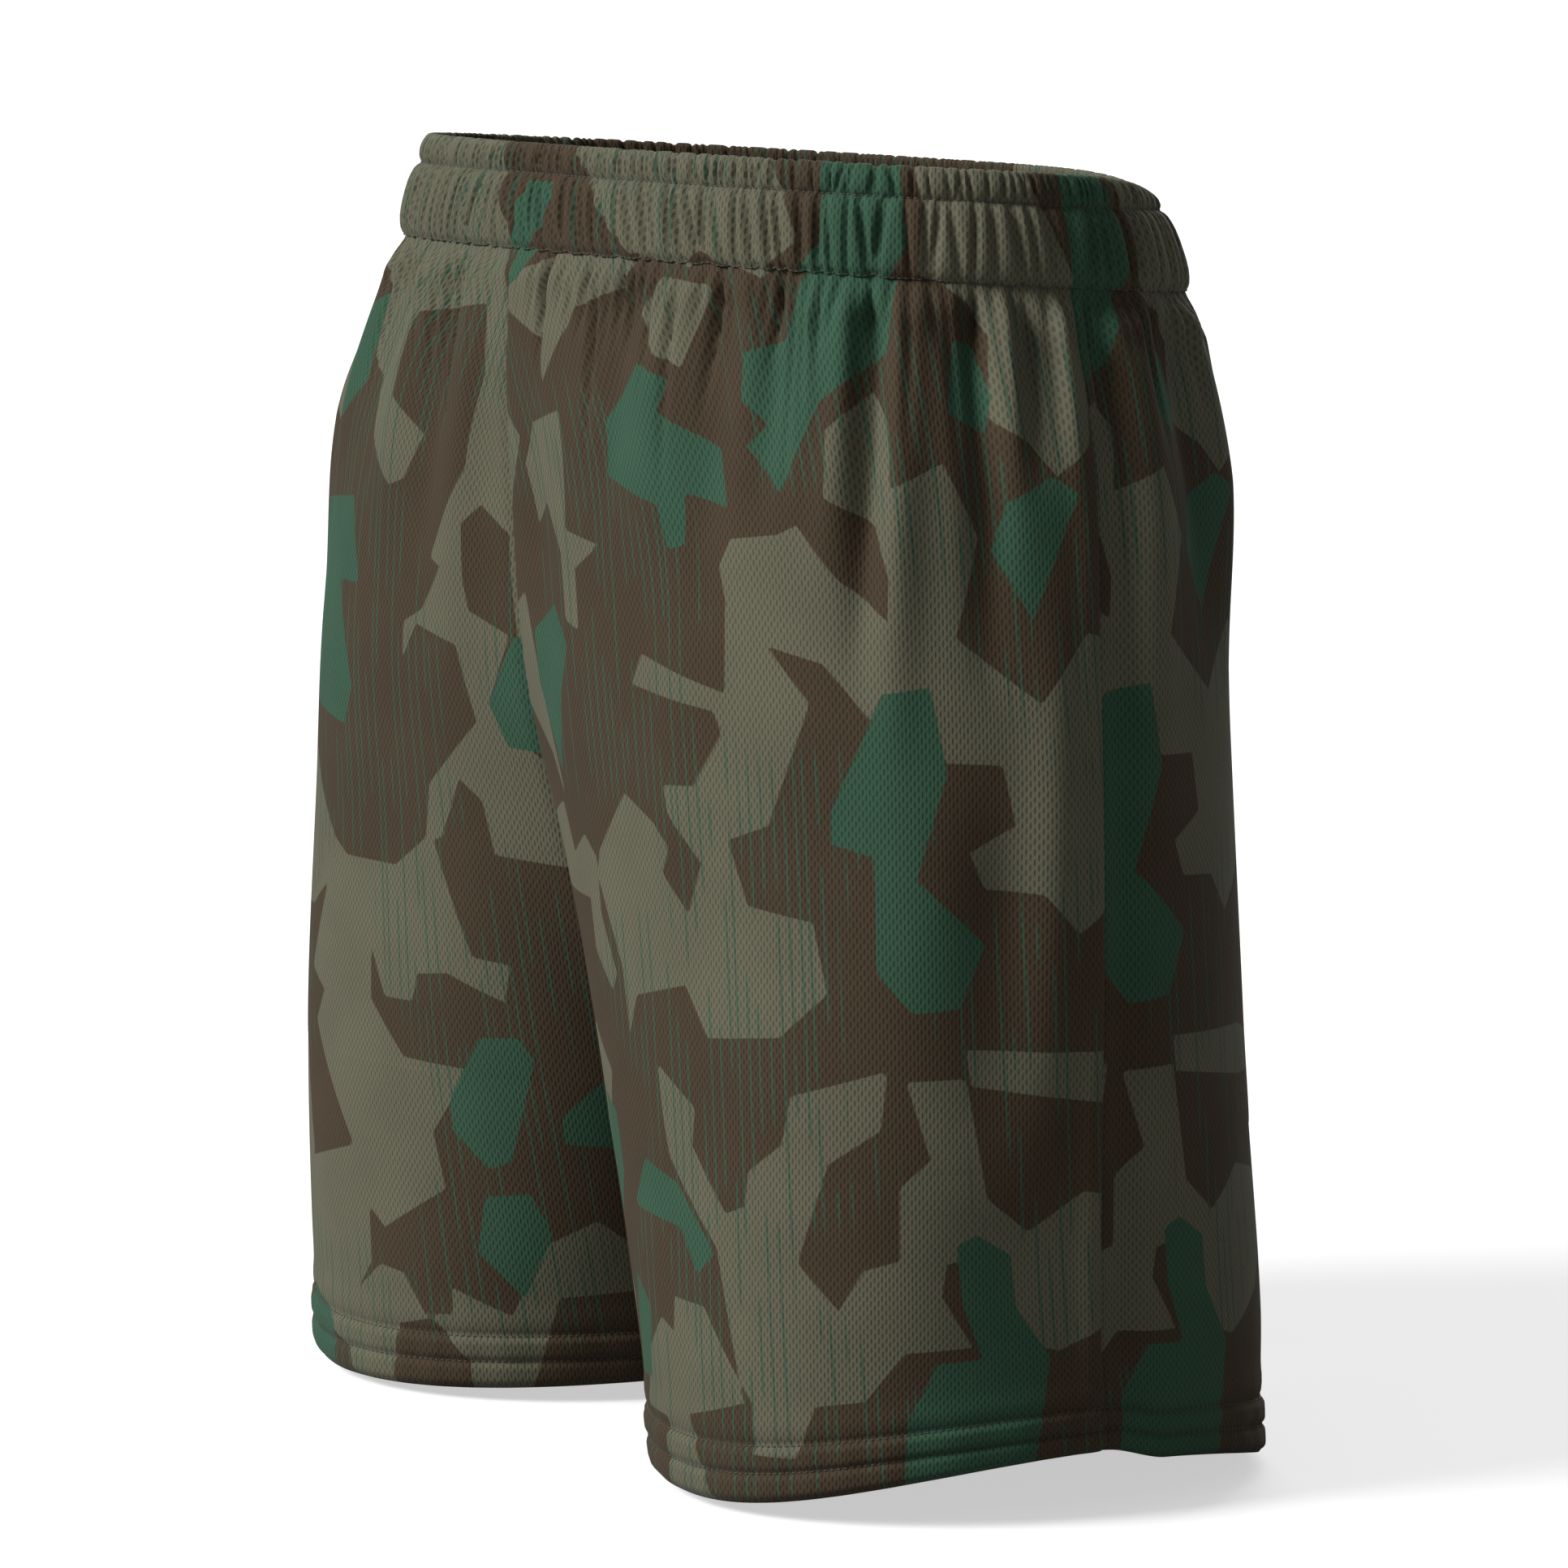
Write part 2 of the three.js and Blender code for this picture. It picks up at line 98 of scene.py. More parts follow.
# ---- body shape
def section(z):
    """The cross-section at each height: cubic Hermite pieces, straight above the waist seam."""
    table = SECTIONS
    last = len(table) - 1
    k = np.clip(np.searchsorted(-table[:, Z], -z, side="right") - 1, 0, last - 1)
    start, end = table[k], table[k + 1]
    before, after = table[np.maximum(k - 1, 0)], table[np.minimum(k + 2, last)]
    span = (end - start)[..., Z:SIDE]
    straight = (end - start) / span
    start_slope = (end - before) / (end - before)[..., Z:SIDE]
    end_slope = (after - start) / (after - start)[..., Z:SIDE]
    is_straight = np.broadcast_to((k == 0)[..., None], straight.shape).copy()
    is_straight[..., ROUND] = True
    start_slope = np.where(is_straight, straight, start_slope)
    end_slope = np.where(is_straight, straight, end_slope)
    t = ((z - start[..., Z]) / span[..., 0])[..., None]
    return (
        (2 * t**3 - 3 * t**2 + 1) * start
        + (t**3 - 2 * t**2 + t) * span * start_slope
        + (3 * t**2 - 2 * t**3) * end
        + (t**3 - t**2) * span * end_slope
    )


def signed_power(value, exponent):
    return np.sign(value) * np.abs(value) ** exponent


def smooth(value, low, high):
    """0 up to the low value, 1 from the high value on, with a soft rise between them."""
    t = np.clip((value - low) / (high - low), 0, 1)
    return t * t * (3 - 2 * t)


def bell(value, half_width, height=1.0):
    """A smooth hump: full height where the value is 0, nearly nothing past twice the half width."""
    return height * np.exp(-((value / half_width) ** 2))


def body(z, angle):
    """Points on the left half and their outward directions: angle 0 is the side seam, below 0 is in front."""
    z, angle = np.broadcast_arrays(z, angle)
    s = section(z)
    half_width = (s[..., SIDE] - s[..., INNER]) / 2
    middle = (s[..., SIDE] + s[..., INNER]) / 2
    half_depth = s[..., DEPTH] / 2
    c, n = np.cos(angle), np.sin(angle)
    along_x, along_y = signed_power(c, 2 / s[..., ROUND]), signed_power(n, 2 / s[..., ROUND])
    out_x = signed_power(c, 2 - 2 / s[..., ROUND]) / half_width
    out_y = signed_power(n, 2 - 2 / s[..., ROUND]) / half_depth
    length = np.hypot(out_x, out_y)
    down = np.maximum(0, (-z - CROTCH) / (OUTSEAM - CROTCH)) ** 1.5
    rise = down * (SIDE_RISE * np.maximum(0, c) ** 2 + INSEAM_RISE * np.maximum(0, -c) ** 2)
    points = np.stack([
        middle + half_width * along_x,
        s[..., CENTRE] + half_depth * along_y,
        z - s[..., DROP] * along_y + rise,
    ], -1)
    return points, np.stack([out_x / length, out_y / length, np.zeros_like(length)], -1)


def inner_angle(z):
    """The angle of a quarter's inner edge: the centre seam, or the inseam once the legs part."""
    s = section(z)
    reach = (s[..., SIDE] + s[..., INNER]) / (s[..., SIDE] - s[..., INNER])
    on_centre = np.arccos(-signed_power(np.clip(reach, -1, 1), s[..., ROUND] / 2))
    return np.where(reach > 1 - 1e-6, math.pi, on_centre)


def even_rows(z, columns):
    """Angles at even steps along the cloth, from the inner edge to the side seam, and each row's length."""
    fine = 400
    angles = inner_angle(z)[:, None] * np.linspace(1, 0, fine)[None, :]
    points, _ = body(z[:, None], -angles)
    steps = np.linalg.norm(np.diff(points, axis=1), axis=2)
    along = np.concatenate([np.zeros((len(z), 1)), np.cumsum(steps, axis=1)], axis=1)
    shares = np.linspace(0, 1, columns)
    even = [np.interp(shares * row[-1], row, angle) for row, angle in zip(along, angles)]
    return np.stack(even), along[:, -1]


# ---- folds
# A fold is (share, drift, from depth, to depth, height, half width), all but the first two in mm. The share
# is where it starts between the side seam (0) and the centre seam (1 in front, -1 at the back), and the
# drift is how far that share moves by the fold's end. Valleys have a negative height.
MAIN_FOLDS = {
    "left": [
        (0.43, 0.02, 40, 150, -3.4, 8), (0.375, 0.02, 44, 130, 2.6, 7), (0.325, 0.03, 44, 170, 2.8, 7),
        (0.285, 0.03, 46, 210, -4.2, 6), (0.255, 0.01, 44, 250, 3.6, 8), (0.155, -0.01, 44, 215, -4.6, 8),
        (0.12, 0.0, 44, 130, 3.0, 6), (0.075, 0.01, 44, 130, -2.4, 5), (0.035, 0.0, 44, 140, 2.2, 4),
        (0.06, 0.02, 120, 420, 3.6, 11), (0.13, 0.0, 210, 380, -2.2, 12), (0.24, -0.02, 200, 380, 1.6, 16),
        (0.10, 0.0, 360, 500, -1.6, 16), (0.62, 0.04, 44, 190, 2.0, 12), (0.70, 0.05, 44, 160, -2.0, 10),
        (0.52, 0.03, 44, 200, -2.4, 11), (0.55, 0.05, 130, 320, 1.6, 18), (0.95, -0.1, 60, 260, -1.8, 14),
        (-0.08, 0.0, 44, 300, 2.6, 11), (-0.17, -0.02, 44, 200, -3.0, 9), (-0.26, -0.02, 44, 240, 2.8, 10),
        (-0.36, -0.03, 44, 170, -2.6, 9), (-0.48, -0.02, 50, 260, 2.4, 13), (-0.62, -0.04, 44, 200, -2.4, 12),
        (-0.76, -0.02, 44, 240, 2.2, 14), (-0.88, 0.02, 60, 300, -2.0, 14),
        (-0.34, 0.0, 330, 700, 3.3, 46),
    ],
    "right": [
        (0.93, -0.08, 44, 230, 2.2, 12), (0.84, -0.06, 44, 200, -2.2, 10), (0.74, -0.05, 44, 180, 2.0, 11),
        (0.66, -0.04, 44, 150, -1.6, 9), (0.52, -0.02, 44, 170, 1.8, 12), (0.40, 0.02, 44, 190, -2.4, 11),
        (0.30, 0.02, 44, 210, 2.6, 11), (0.20, 0.0, 44, 180, -3.0, 9), (0.11, 0.0, 60, 330, 3.0, 11),
        (-0.10, 0.0, 44, 280, 2.8, 11), (-0.21, -0.02, 44, 220, -3.0, 10), (-0.32, -0.02, 44, 240, 2.4, 11),
        (-0.45, -0.03, 44, 180, -2.4, 11), (-0.58, -0.02, 44, 220, 2.2, 13),
        (-0.74, -0.02, 44, 190, -2.2, 12), (-0.88, 0.02, 50, 300, 2.0, 14),
    ],
}
MAIN_SCALE = 1.7                 # how much bolder the main folds are than the list says
FLARE = 0.27                     # how fast a fold widens on its way down
WAIST_ROW_MM = 268               # a quarter's length along the waist seam
GATHER_PITCH_MM = 6.4
GATHER_TOP_MM, GATHER_END_MM = 38, 48
GATHER_LENGTHS_MM = (22, 70)     # the shortest, and what the longest has more
GATHER_HEIGHTS_MM = (-4.2, -1.6)
GATHER_HALF_WIDTH_MM = 2.0
SLOW_WAVES, SLOW_WAVE_MM = 9, 0.42
BACK_HEM_SAG = 0.005             # how much lower the back hem hangs beside the side seam

# Humps and hollows of the plain cloth, each as its half width and height in mm.
SEAM_HOLLOW, SEAM_GROOVE, CENTRE_GROOVE = (7, 1.8), (1.6, 0.8), (2.2, 0.9)
LEFT_FRONT_RIDGE, LEFT_BACK_HOLLOW = (5, 1.8), (8, 3.4)
WAIST_PUFF, ABOVE_HEM_PUFF = (7, 2.4), (5, 0.7)
HEM_PINCH, HEM_EDGE = (1.7, 1.6), (2.0, 2.8)
HEM_PADDING_MM = 1.9
HIP_SWELL_MM = 3.0
SEAM_PUCKER_MM, HEM_RIPPLE_MM = 0.16, 0.22


def gathers(hand):
    """Fine gathers that start at the waist seam and fade out below it: the longer, the further apart."""
    generator = np.random.default_rng(11 if hand == "left" else 23)
    found = []
    step = GATHER_PITCH_MM / WAIST_ROW_MM
    shortest, more = GATHER_LENGTHS_MM
    for share in np.arange(-1 + step, 1 - step / 2, step):
        jitter = generator.uniform(-0.32, 0.32) * step
        length = shortest + more * generator.random() ** 2.2
        drift = generator.normal(0, 0.012) + 0.02 * share
        height = generator.uniform(*GATHER_HEIGHTS_MM)
        low = GATHER_END_MM + length
        found.append((share + jitter, drift, GATHER_TOP_MM, low, height, GATHER_HALF_WIDTH_MM))
    return found


def fold_height(hand, share, row_length_mm, depth_mm):
    """How far the folds push a panel out, in mm, on a grid of shares and depths."""
    height = np.zeros(np.broadcast(share, depth_mm).shape)
    main = [fold[:4] + (MAIN_SCALE * fold[4], fold[5]) for fold in MAIN_FOLDS[hand]]
    for start, drift, top, low, peak, half_width in main + gathers(hand):
        run = np.clip((depth_mm - top) / (low - top), 0, 1)
        centre = start + drift * run
        width = half_width * (1 + FLARE * np.maximum(0, depth_mm - BAND / MM) / (low - top + 60))
        starts_at_waist = top < 60
        rise = smooth(depth_mm, top, top + (14 if starts_at_waist else 0.4 * (low - top)))
        fade = 1 - smooth(depth_mm, top + 0.35 * (low - top), low)
        across = (share - centre) * row_length_mm
        height += peak * rise * fade * bell(across, width)
    return height


def slow_waves(hand, share, depth_mm):
    """Broad, soft unevenness of loose cloth: a few long waves with fixed phases."""
    generator = np.random.default_rng(5 if hand == "left" else 8)
    height = np.zeros(np.broadcast(share, depth_mm).shape)
    for _ in range(SLOW_WAVES):
        across, down = generator.uniform(2, 7), generator.uniform(0.2, 1.3)
        lean, phase = generator.uniform(-1, 1), generator.uniform(0, 2 * math.pi)
        place = share + 0.1 * lean * depth_mm / 100
        height += np.sin(across * math.pi * place + down * depth_mm / 60 + phase)
    return SLOW_WAVE_MM * height * smooth(depth_mm, 60, 220)


def hem_profile(height_mm):
    """The hem's two ribs: pinched at each stitch row, rounded under at the edge."""
    lower, upper = HEM_STITCHES["lower"] / MM, HEM_STITCHES["upper"] / MM
    pinch = sum(bell(height_mm - row, *HEM_PINCH) for row in (lower, upper))
    padded = HEM_PADDING_MM * (1 - smooth(height_mm, upper - 1.5, upper + 2.5))
    puff = bell(height_mm - upper - 7, *ABOVE_HEM_PUFF)
    return padded + puff - pinch - bell(np.maximum(height_mm, 0), *HEM_EDGE)


def panel_height(hand, share, row_length_mm, depth_mm):
    """All that shapes a panel's face, in mm outwards."""
    height_mm = OUTSEAM / MM - depth_mm
    seam_mm = np.abs(share) * row_length_mm
    centre_mm = (1 - np.abs(share)) * row_length_mm
    below = smooth(depth_mm, BAND / MM, BAND / MM + 10)
    near_hem = smooth(height_mm, 14, 60)
    folds = fold_height(hand, share, row_length_mm, depth_mm) + slow_waves(hand, share, depth_mm)
    folds *= smooth(centre_mm, 0, 26) * (0.5 + 0.5 * near_hem)
    valley = -bell(seam_mm, *SEAM_HOLLOW)
    if hand == "left":
        ridge, hollow = bell(seam_mm - 6, *LEFT_FRONT_RIDGE), bell(seam_mm - 8, *LEFT_BACK_HOLLOW)
        valley = 0.5 * valley + np.where(share > 0, ridge, -hollow)
    valley = valley * below * (0.35 + 0.65 * near_hem)
    valley -= bell(seam_mm, *SEAM_GROOVE) + bell(centre_mm, *CENTRE_GROOVE)
    pucker = SEAM_PUCKER_MM * np.sin(2 * math.pi * depth_mm / 8.5 + 1.3 * np.sin(depth_mm / 31))
    pucker = pucker * (bell(seam_mm, 9) + bell(centre_mm, 8))
    along_mm = share * row_length_mm
    ripple = HEM_RIPPLE_MM * np.sin(along_mm / 3.1 + 2.2 * np.sin(along_mm / 19))
    ripple = ripple * bell(height_mm - 15, 13) * smooth(centre_mm, 0, 10)
    swell = bell(depth_mm - BAND / MM - 9, *WAIST_PUFF) - 0.4
    swell += HIP_SWELL_MM * smooth(depth_mm, 42, 62) * (1 - smooth(depth_mm, 80, 180))
    return folds + valley + pucker + ripple + swell + hem_profile(height_mm)


def panel_surface(hand, face, depths, columns):
    """Grids of points, outward directions, print places (mm) and shares on a panel, inner edge first."""
    angles, lengths = even_rows(-depths, columns)
    points, outwards = body(-depths[:, None], FACES[face] * angles)
    share = np.broadcast_to(np.linspace(1, 0, columns)[None, :], angles.shape) * -FACES[face]
    rows_mm = lengths[:, None] / MM
    depth_mm = np.broadcast_to(depths[:, None] / MM, angles.shape)
    height = panel_height(hand, share, rows_mm, depth_mm)
    seam_mm, centre_mm = np.abs(share) * rows_mm, (1 - np.abs(share)) * rows_mm
    # The halves meet on the middle plane down to the crotch, so nothing moves sideways there.
    held = bell(centre_mm, 8) * (1 - smooth(depth_mm, CROTCH / MM, CROTCH / MM + 15))
    sideways = np.stack([1 - held, np.ones_like(held), np.ones_like(held)], -1)
    points = points + outwards * sideways * height[..., None] * MM
    if face == "back":
        beside_seam = smooth(seam_mm, 0, 30) * (1 - smooth(seam_mm, 110, 190))
        points -= UP * (BACK_HEM_SAG * beside_seam * (1 - smooth(OUTSEAM / MM - depth_mm, 0, 90)))[..., None]
    flip = np.array([HANDS[hand], 1, 1])
    return points * flip, outwards * flip, seam_mm, depth_mm


# ---- print
# The print is a generic splinter camouflage: straight-edged khaki and green patches on brown. It is drawn
# as outlines on a strip of cloth, x along the cloth and depth below the rim, and repeats along x.
PRINT_REPEAT_MM = 760
KHAKI = [
    [(300, 70), (270, 52), (238, 43), (188, 42), (200, 54), (228, 62), (262, 91), (258, 75), (288, 62)],
    [(186, 62), (172, 48), (148, 50), (168, 80), (180, 76)],
    [(290, 122), (278, 106), (252, 100), (256, 144), (232, 148), (250, 158), (249, 181), (260, 178),
     (262, 152), (275, 135), (286, 144)],
    [(302, 98), (290, 112), (312, 144), (318, 128)],
    [(332, 186), (303, 171), (296, 205), (276, 250), (290, 232), (332, 206)],
    [(160, 150), (153, 140), (130, 137), (121, 133), (105, 152), (85, 166), (84, 150), (90, 132), (108, 122),
     (104, 98), (86, 84), (80, 95), (82, 118), (62, 108), (50, 135), (60, 172), (28, 196), (8, 170),
     (-22, 178), (-34, 214), (-20, 262), (14, 284), (28, 268), (50, 266), (56, 252), (38, 242), (43, 219),
     (65, 218), (70, 191), (88, 193), (93, 203), (112, 183), (137, 178), (150, 190)],
    [(157, 165), (137, 178), (118, 198), (138, 245), (158, 252), (148, 276), (118, 280), (112, 307),
     (133, 325), (170, 329), (183, 310), (217, 318), (224, 335), (228, 308), (246, 275), (243, 265),
     (220, 240), (200, 249), (190, 258), (195, 268), (180, 282), (172, 262), (190, 245), (192, 234),
     (175, 233), (160, 212), (164, 204), (212, 198), (205, 186), (158, 197)],
    [(322, 284), (256, 285), (254, 305), (238, 319), (233, 312), (245, 290), (246, 268), (257, 260),
     (272, 269), (282, 250), (322, 262)],
    [(203, 343), (178, 357), (180, 372), (160, 396), (150, 392), (148, 378), (132, 366), (128, 347),
     (88, 335), (91, 358), (112, 372), (125, 412), (108, 431), (98, 414), (84, 410), (84, 380), (72, 369),
     (81, 339), (58, 338), (50, 385), (33, 400), (10, 384), (-24, 392), (-38, 420), (-12, 440), (20, 456),
     (32, 452), (48, 408), (66, 412), (68, 426), (56, 450), (82, 450), (98, 470), (118, 471), (126, 492),
     (145, 490), (146, 470), (172, 434), (192, 433), (193, 447), (203, 443), (221, 462), (223, 482),
     (200, 482), (196, 524), (160, 524), (182, 478), (150, 470), (165, 410), (196, 378), (200, 362)],
    [(58, 327), (0, 330), (-30, 338), (-44, 352), (0, 350), (56, 341)],
    [(126, 46), (150, 37), (160, 44), (186, 40), (204, 24), (214, 8), (232, -8), (124, -8), (114, 6),
     (104, 30)],
    [(62, -8), (56, 14), (58, 40), (44, 50), (38, 62), (42, 92), (28, 100), (18, 112), (4, 100), (-4, 50),
     (6, 20), (20, -8)],
    [(345, 60), (372, 40), (404, 52), (420, 88), (398, 104), (402, 140), (376, 132), (352, 100)],
    [(366, 176), (398, 168), (430, 190), (422, 236), (394, 262), (360, 238), (342, 262), (336, 214)],
    [(352, 300), (388, 286), (416, 310), (440, 352), (412, 384), (386, 356), (360, 362), (342, 330)],
    [(360, 408), (396, 402), (430, 424), (436, 470), (410, 524), (372, 524), (384, 470), (356, 448)],
    [(246, 352), (270, 336), (300, 350), (318, 330), (336, 356), (322, 392), (296, 384), (284, 404),
     (262, 396)],
    [(240, 440), (262, 424), (280, 446), (312, 430), (330, 462), (316, 524), (286, 524), (276, 488),
     (254, 492)],
    [(-96, 60), (-70, 44), (-48, 70), (-60, 112), (-84, 128), (-104, 96)],
    [(-92, 232), (-66, 204), (-50, 246), (-70, 290), (-96, 274)],
    [(-100, 380), (-74, 352), (-58, 398), (-80, 430), (-66, 470), (-94, 462), (-112, 420)],
]
GREEN = [
    [(224, 122), (222, 102), (192, 80), (176, 84), (183, 97), (156, 108), (154, 129), (176, 125), (178, 144),
     (187, 146), (190, 130)],
    [(142, 90), (138, 73), (120, 68), (112, 50), (96, 30), (96, -8), (66, -8), (62, 30), (70, 44), (78, 70),
     (105, 88), (128, 122), (142, 106), (132, 98)],
    [(285, 60), (262, 28), (252, 14), (234, 14), (238, 30), (268, 54)],
    [(297, 185), (273, 173), (259, 188), (270, 206), (278, 238), (297, 205)],
    [(88, 193), (70, 190), (64, 222), (76, 262), (50, 287), (60, 311), (78, 313), (92, 298), (92, 254),
     (110, 250), (110, 238)],
    [(45, 140), (38, 122), (20, 112), (10, 118), (30, 165)],
    [(58, 90), (52, 64), (44, 66), (40, 84), (44, 98)],
    [(226, 402), (215, 382), (190, 388), (166, 412), (176, 422), (188, 405)],
    [(260, 392), (262, 362), (245, 368), (240, 392), (250, 412)],
    [(230, 430), (214, 440), (218, 470), (238, 472)],
    [(62, 404), (54, 400), (40, 410), (38, 434), (24, 458), (34, 524), (84, 524), (82, 482), (70, 456),
     (52, 456), (60, 430)],
    [(346, 136), (372, 150), (366, 190), (342, 196), (330, 168)],
    [(404, 240), (432, 230), (452, 262), (436, 300), (410, 292)],
    [(376, 372), (400, 384), (396, 416), (368, 408)],
    [(-40, 120), (-18, 134), (-26, 172), (-52, 168)],
    [(-70, 300), (-44, 290), (-30, 318), (-54, 350), (-78, 336)],
]
# The same strip further along, with x counted back from SECOND_ORIGIN_MM.
SECOND_ORIGIN_MM = 800
KHAKI_SECOND = [
    [(110, 30), (128, 44), (160, 64), (172, 90), (186, 96), (196, 120), (222, 137), (232, 134), (240, 116),
     (214, 102), (210, 70), (266, 64), (280, 90), (282, 126), (258, 163), (268, 166), (254, 184),
     (240, 190), (240, 205), (250, 190), (280, 196), (290, 226), (256, 254), (252, 276), (262, 276),
     (276, 250), (288, 258), (292, 280), (336, 284), (346, 256), (318, 236), (298, 218), (312, 190),
     (288, 182), (284, 170), (282, 148), (292, 140), (310, 150), (316, 190), (334, 200), (318, 130),
     (284, 70), (250, 22), (240, -8), (110, -8)],
    [(108, 262), (128, 250), (146, 252), (180, 284), (192, 290), (230, 290), (256, 274), (276, 324),
     (294, 326), (290, 342), (262, 332), (244, 334), (240, 346), (222, 346), (212, 326), (212, 348),
     (234, 370), (270, 372), (248, 400), (252, 424), (216, 444), (206, 436), (206, 460), (194, 474),
     (212, 460), (226, 462), (236, 478), (250, 478), (250, 466), (276, 478), (290, 448), (316, 436),
     (328, 446), (328, 468), (296, 470), (276, 524), (256, 524), (256, 498), (240, 480), (222, 484),
     (216, 524), (196, 524), (190, 500), (150, 480), (112, 486), (104, 446), (150, 424), (196, 412),
     (160, 364), (170, 350), (152, 342), (172, 304), (150, 316), (112, 318)],
    [(334, 440), (336, 372), (348, 350), (362, 372), (352, 440), (340, 500), (334, 500)],
]
GREEN_SECOND = [
    [(110, 84), (160, 64), (173, 98), (156, 114), (118, 118)],
    [(112, 150), (186, 144), (200, 178), (180, 178), (198, 220), (190, 236), (106, 226), (96, 188)],
    [(306, 204), (314, 190), (334, 194), (334, 237), (306, 235), (298, 218)],
    [(276, 358), (294, 357), (300, 366), (284, 410), (274, 414), (258, 398), (258, 386)],
    [(270, 426), (290, 424), (297, 442), (282, 470), (264, 450)],
    [(307, 402), (308, 390), (328, 374), (332, 404)],
    [(138, 486), (150, 480), (176, 490), (178, 524), (138, 524)],
    [(334, 420), (342, 406), (352, 424), (358, 462), (346, 444)],
]
# Where each quarter is cut from the strip: x = start + direction * distance from the side seam.
CUTS = {
    ("left", "front"): (0, 1), ("left", "back"): (90, -1),
    ("right", "front"): (SECOND_ORIGIN_MM, -1), ("right", "back"): (200, 1),
}
OUTSIDE_MM = -12.0               # the value given to cloth that is nowhere near a patch


def signed_distance(x, y, outline):
    """Distance to an outline's edge in mm, positive inside."""
    corners = np.array(outline, float)
    nearest = np.full(x.shape, np.inf)
    inside = np.zeros(x.shape, bool)
    for (ax, ay), (bx, by) in zip(corners, np.roll(corners, -1, axis=0)):
        ex, ey = bx - ax, by - ay
        t = np.clip(((x - ax) * ex + (y - ay) * ey) / (ex * ex + ey * ey), 0, 1)
        nearest = np.minimum(nearest, np.hypot(x - ax - t * ex, y - ay - t * ey))
        if ay != by:
            crosses = (ay > y) != (by > y)
            inside ^= crosses & (x < ax + ex * (y - ay) / ey)
    return np.where(inside, nearest, -nearest)


def patch_field(x, y, first, second):
    """The best signed distance to any patch, over the repeats of the strip."""
    outlines = first + [[(SECOND_ORIGIN_MM - px, py) for px, py in outline] for outline in second]
    field = np.full(x.shape, OUTSIDE_MM)
    for outline in outlines:
        low, high = np.min(outline, axis=0) + OUTSIDE_MM, np.max(outline, axis=0) - OUTSIDE_MM
        for repeat in (-PRINT_REPEAT_MM, 0, PRINT_REPEAT_MM):
            near = (x > low[0] + repeat) & (x < high[0] + repeat) & (y > low[1]) & (y < high[1])
            if near.any():
                distance = signed_distance(x[near] - repeat, y[near], outline)
                field[near] = np.maximum(field[near], distance)
    return field


def print_fields(hand, face, seam_mm, depth_mm):
    """What a camouflage material reads: the place in the strip (m) and the two patch fields (mm)."""
    start, direction = CUTS[hand, face]
    x = start + direction * seam_mm
    return {
        "strip": np.stack([x * MM, depth_mm * MM, np.zeros_like(x)], -1),
        "khaki": patch_field(x, depth_mm, KHAKI, KHAKI_SECOND),
        "green": patch_field(x, depth_mm, GREEN, GREEN_SECOND),
    }


# ---- meshes
SHARP_ANGLE = math.radians(60)


def add_object(name, data):
    made = bpy.data.objects.new(name, data)
    bpy.context.scene.collection.objects.link(made)
    return made


def new_piece(name, verts, faces, material):
    """A smooth mesh object from lists of points and of faces."""
    mesh = bpy.data.meshes.new(name)
    mesh.from_pydata(verts, [], faces)
    mesh.shade_smooth()
    mesh.materials.append(material)
    return add_object(name, mesh)


def declare(piece, body, node=None):
    """Which body a piece rides on and which CAD node it replaces."""
    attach(piece, body)
    if node:
        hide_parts(node)


def path_lengths(points):
    """How far along a path each of its points lies."""
    return np.concatenate([[0], np.cumsum(np.linalg.norm(np.diff(points, axis=0), axis=1))])


def grid_quads(rows, columns, first=0, ring=False):
    """The quads of a grid whose points are numbered row by row."""
    i, j = np.meshgrid(np.arange(rows - 1), np.arange(columns if ring else columns - 1), indexing="ij")
    here, j = (i * columns).ravel(), j.ravel()
    k = (j + 1) % columns
    return first + np.stack([here + j, here + k, here + columns + k, here + columns + j], 1)


def cloth_piece(name, outer, inner, material, fields=None, ring=False):
    """A closed sheet between two grids of points. Fields are grids of values that the material reads."""
    rows, columns = outer.shape[:2]
    count = rows * columns
    verts = np.concatenate([outer.reshape(-1, 3), inner.reshape(-1, 3)])
    quads = [grid_quads(rows, columns, 0, ring), grid_quads(rows, columns, count, ring)[:, ::-1]]
    number = np.arange(count).reshape(rows, columns)
    edges = [number[0], number[-1]]
    if ring:
        edges = [np.append(edge, edge[0]) for edge in edges]
    else:
        edges += [number[:, 0], number[:, -1]]
    for edge in edges:
        a, b = edge[:-1], edge[1:]
        quads.append(np.stack([a, b, b + count, a + count], 1))
    piece = new_piece(name, verts.tolist(), np.concatenate(quads).tolist(), material)
    build = bmesh.new()
    build.from_mesh(piece.data)
    bmesh.ops.recalc_face_normals(build, faces=build.faces)
    build.to_mesh(piece.data)
    build.free()
    piece.data.set_sharp_from_angle(angle=SHARP_ANGLE)
    for field, values in (fields or {}).items():
        is_vector = values.ndim == 3
        both = np.concatenate([values.reshape(count, -1)] * 2).astype(np.float32)
        kind = "FLOAT_VECTOR" if is_vector else "FLOAT"
        attribute = piece.data.attributes.new(field, kind, "POINT")
        attribute.data.foreach_set("vector" if is_vector else "value", both.ravel())
    reverse = np.concatenate([np.zeros(count), np.ones(count)]).astype(np.float32)
    piece.data.attributes.new("reverse", "FLOAT", "POINT").data.foreach_set("value", reverse)
    return piece


STITCH_PITCH = 0.0027
STITCH_SIDES = 6
STITCH_LENGTH = 0.80             # as a share of the pitch
# A stitch's rings: the place along it, then the thickness and the height above the cloth in thread radii.
STITCH_RINGS = (
    (-1.0, 0.15, -0.7), (-0.62, 0.9, 0.1), (0.0, 1.0, 0.45), (0.62, 0.9, 0.1), (1.0, 0.15, -0.7),
)


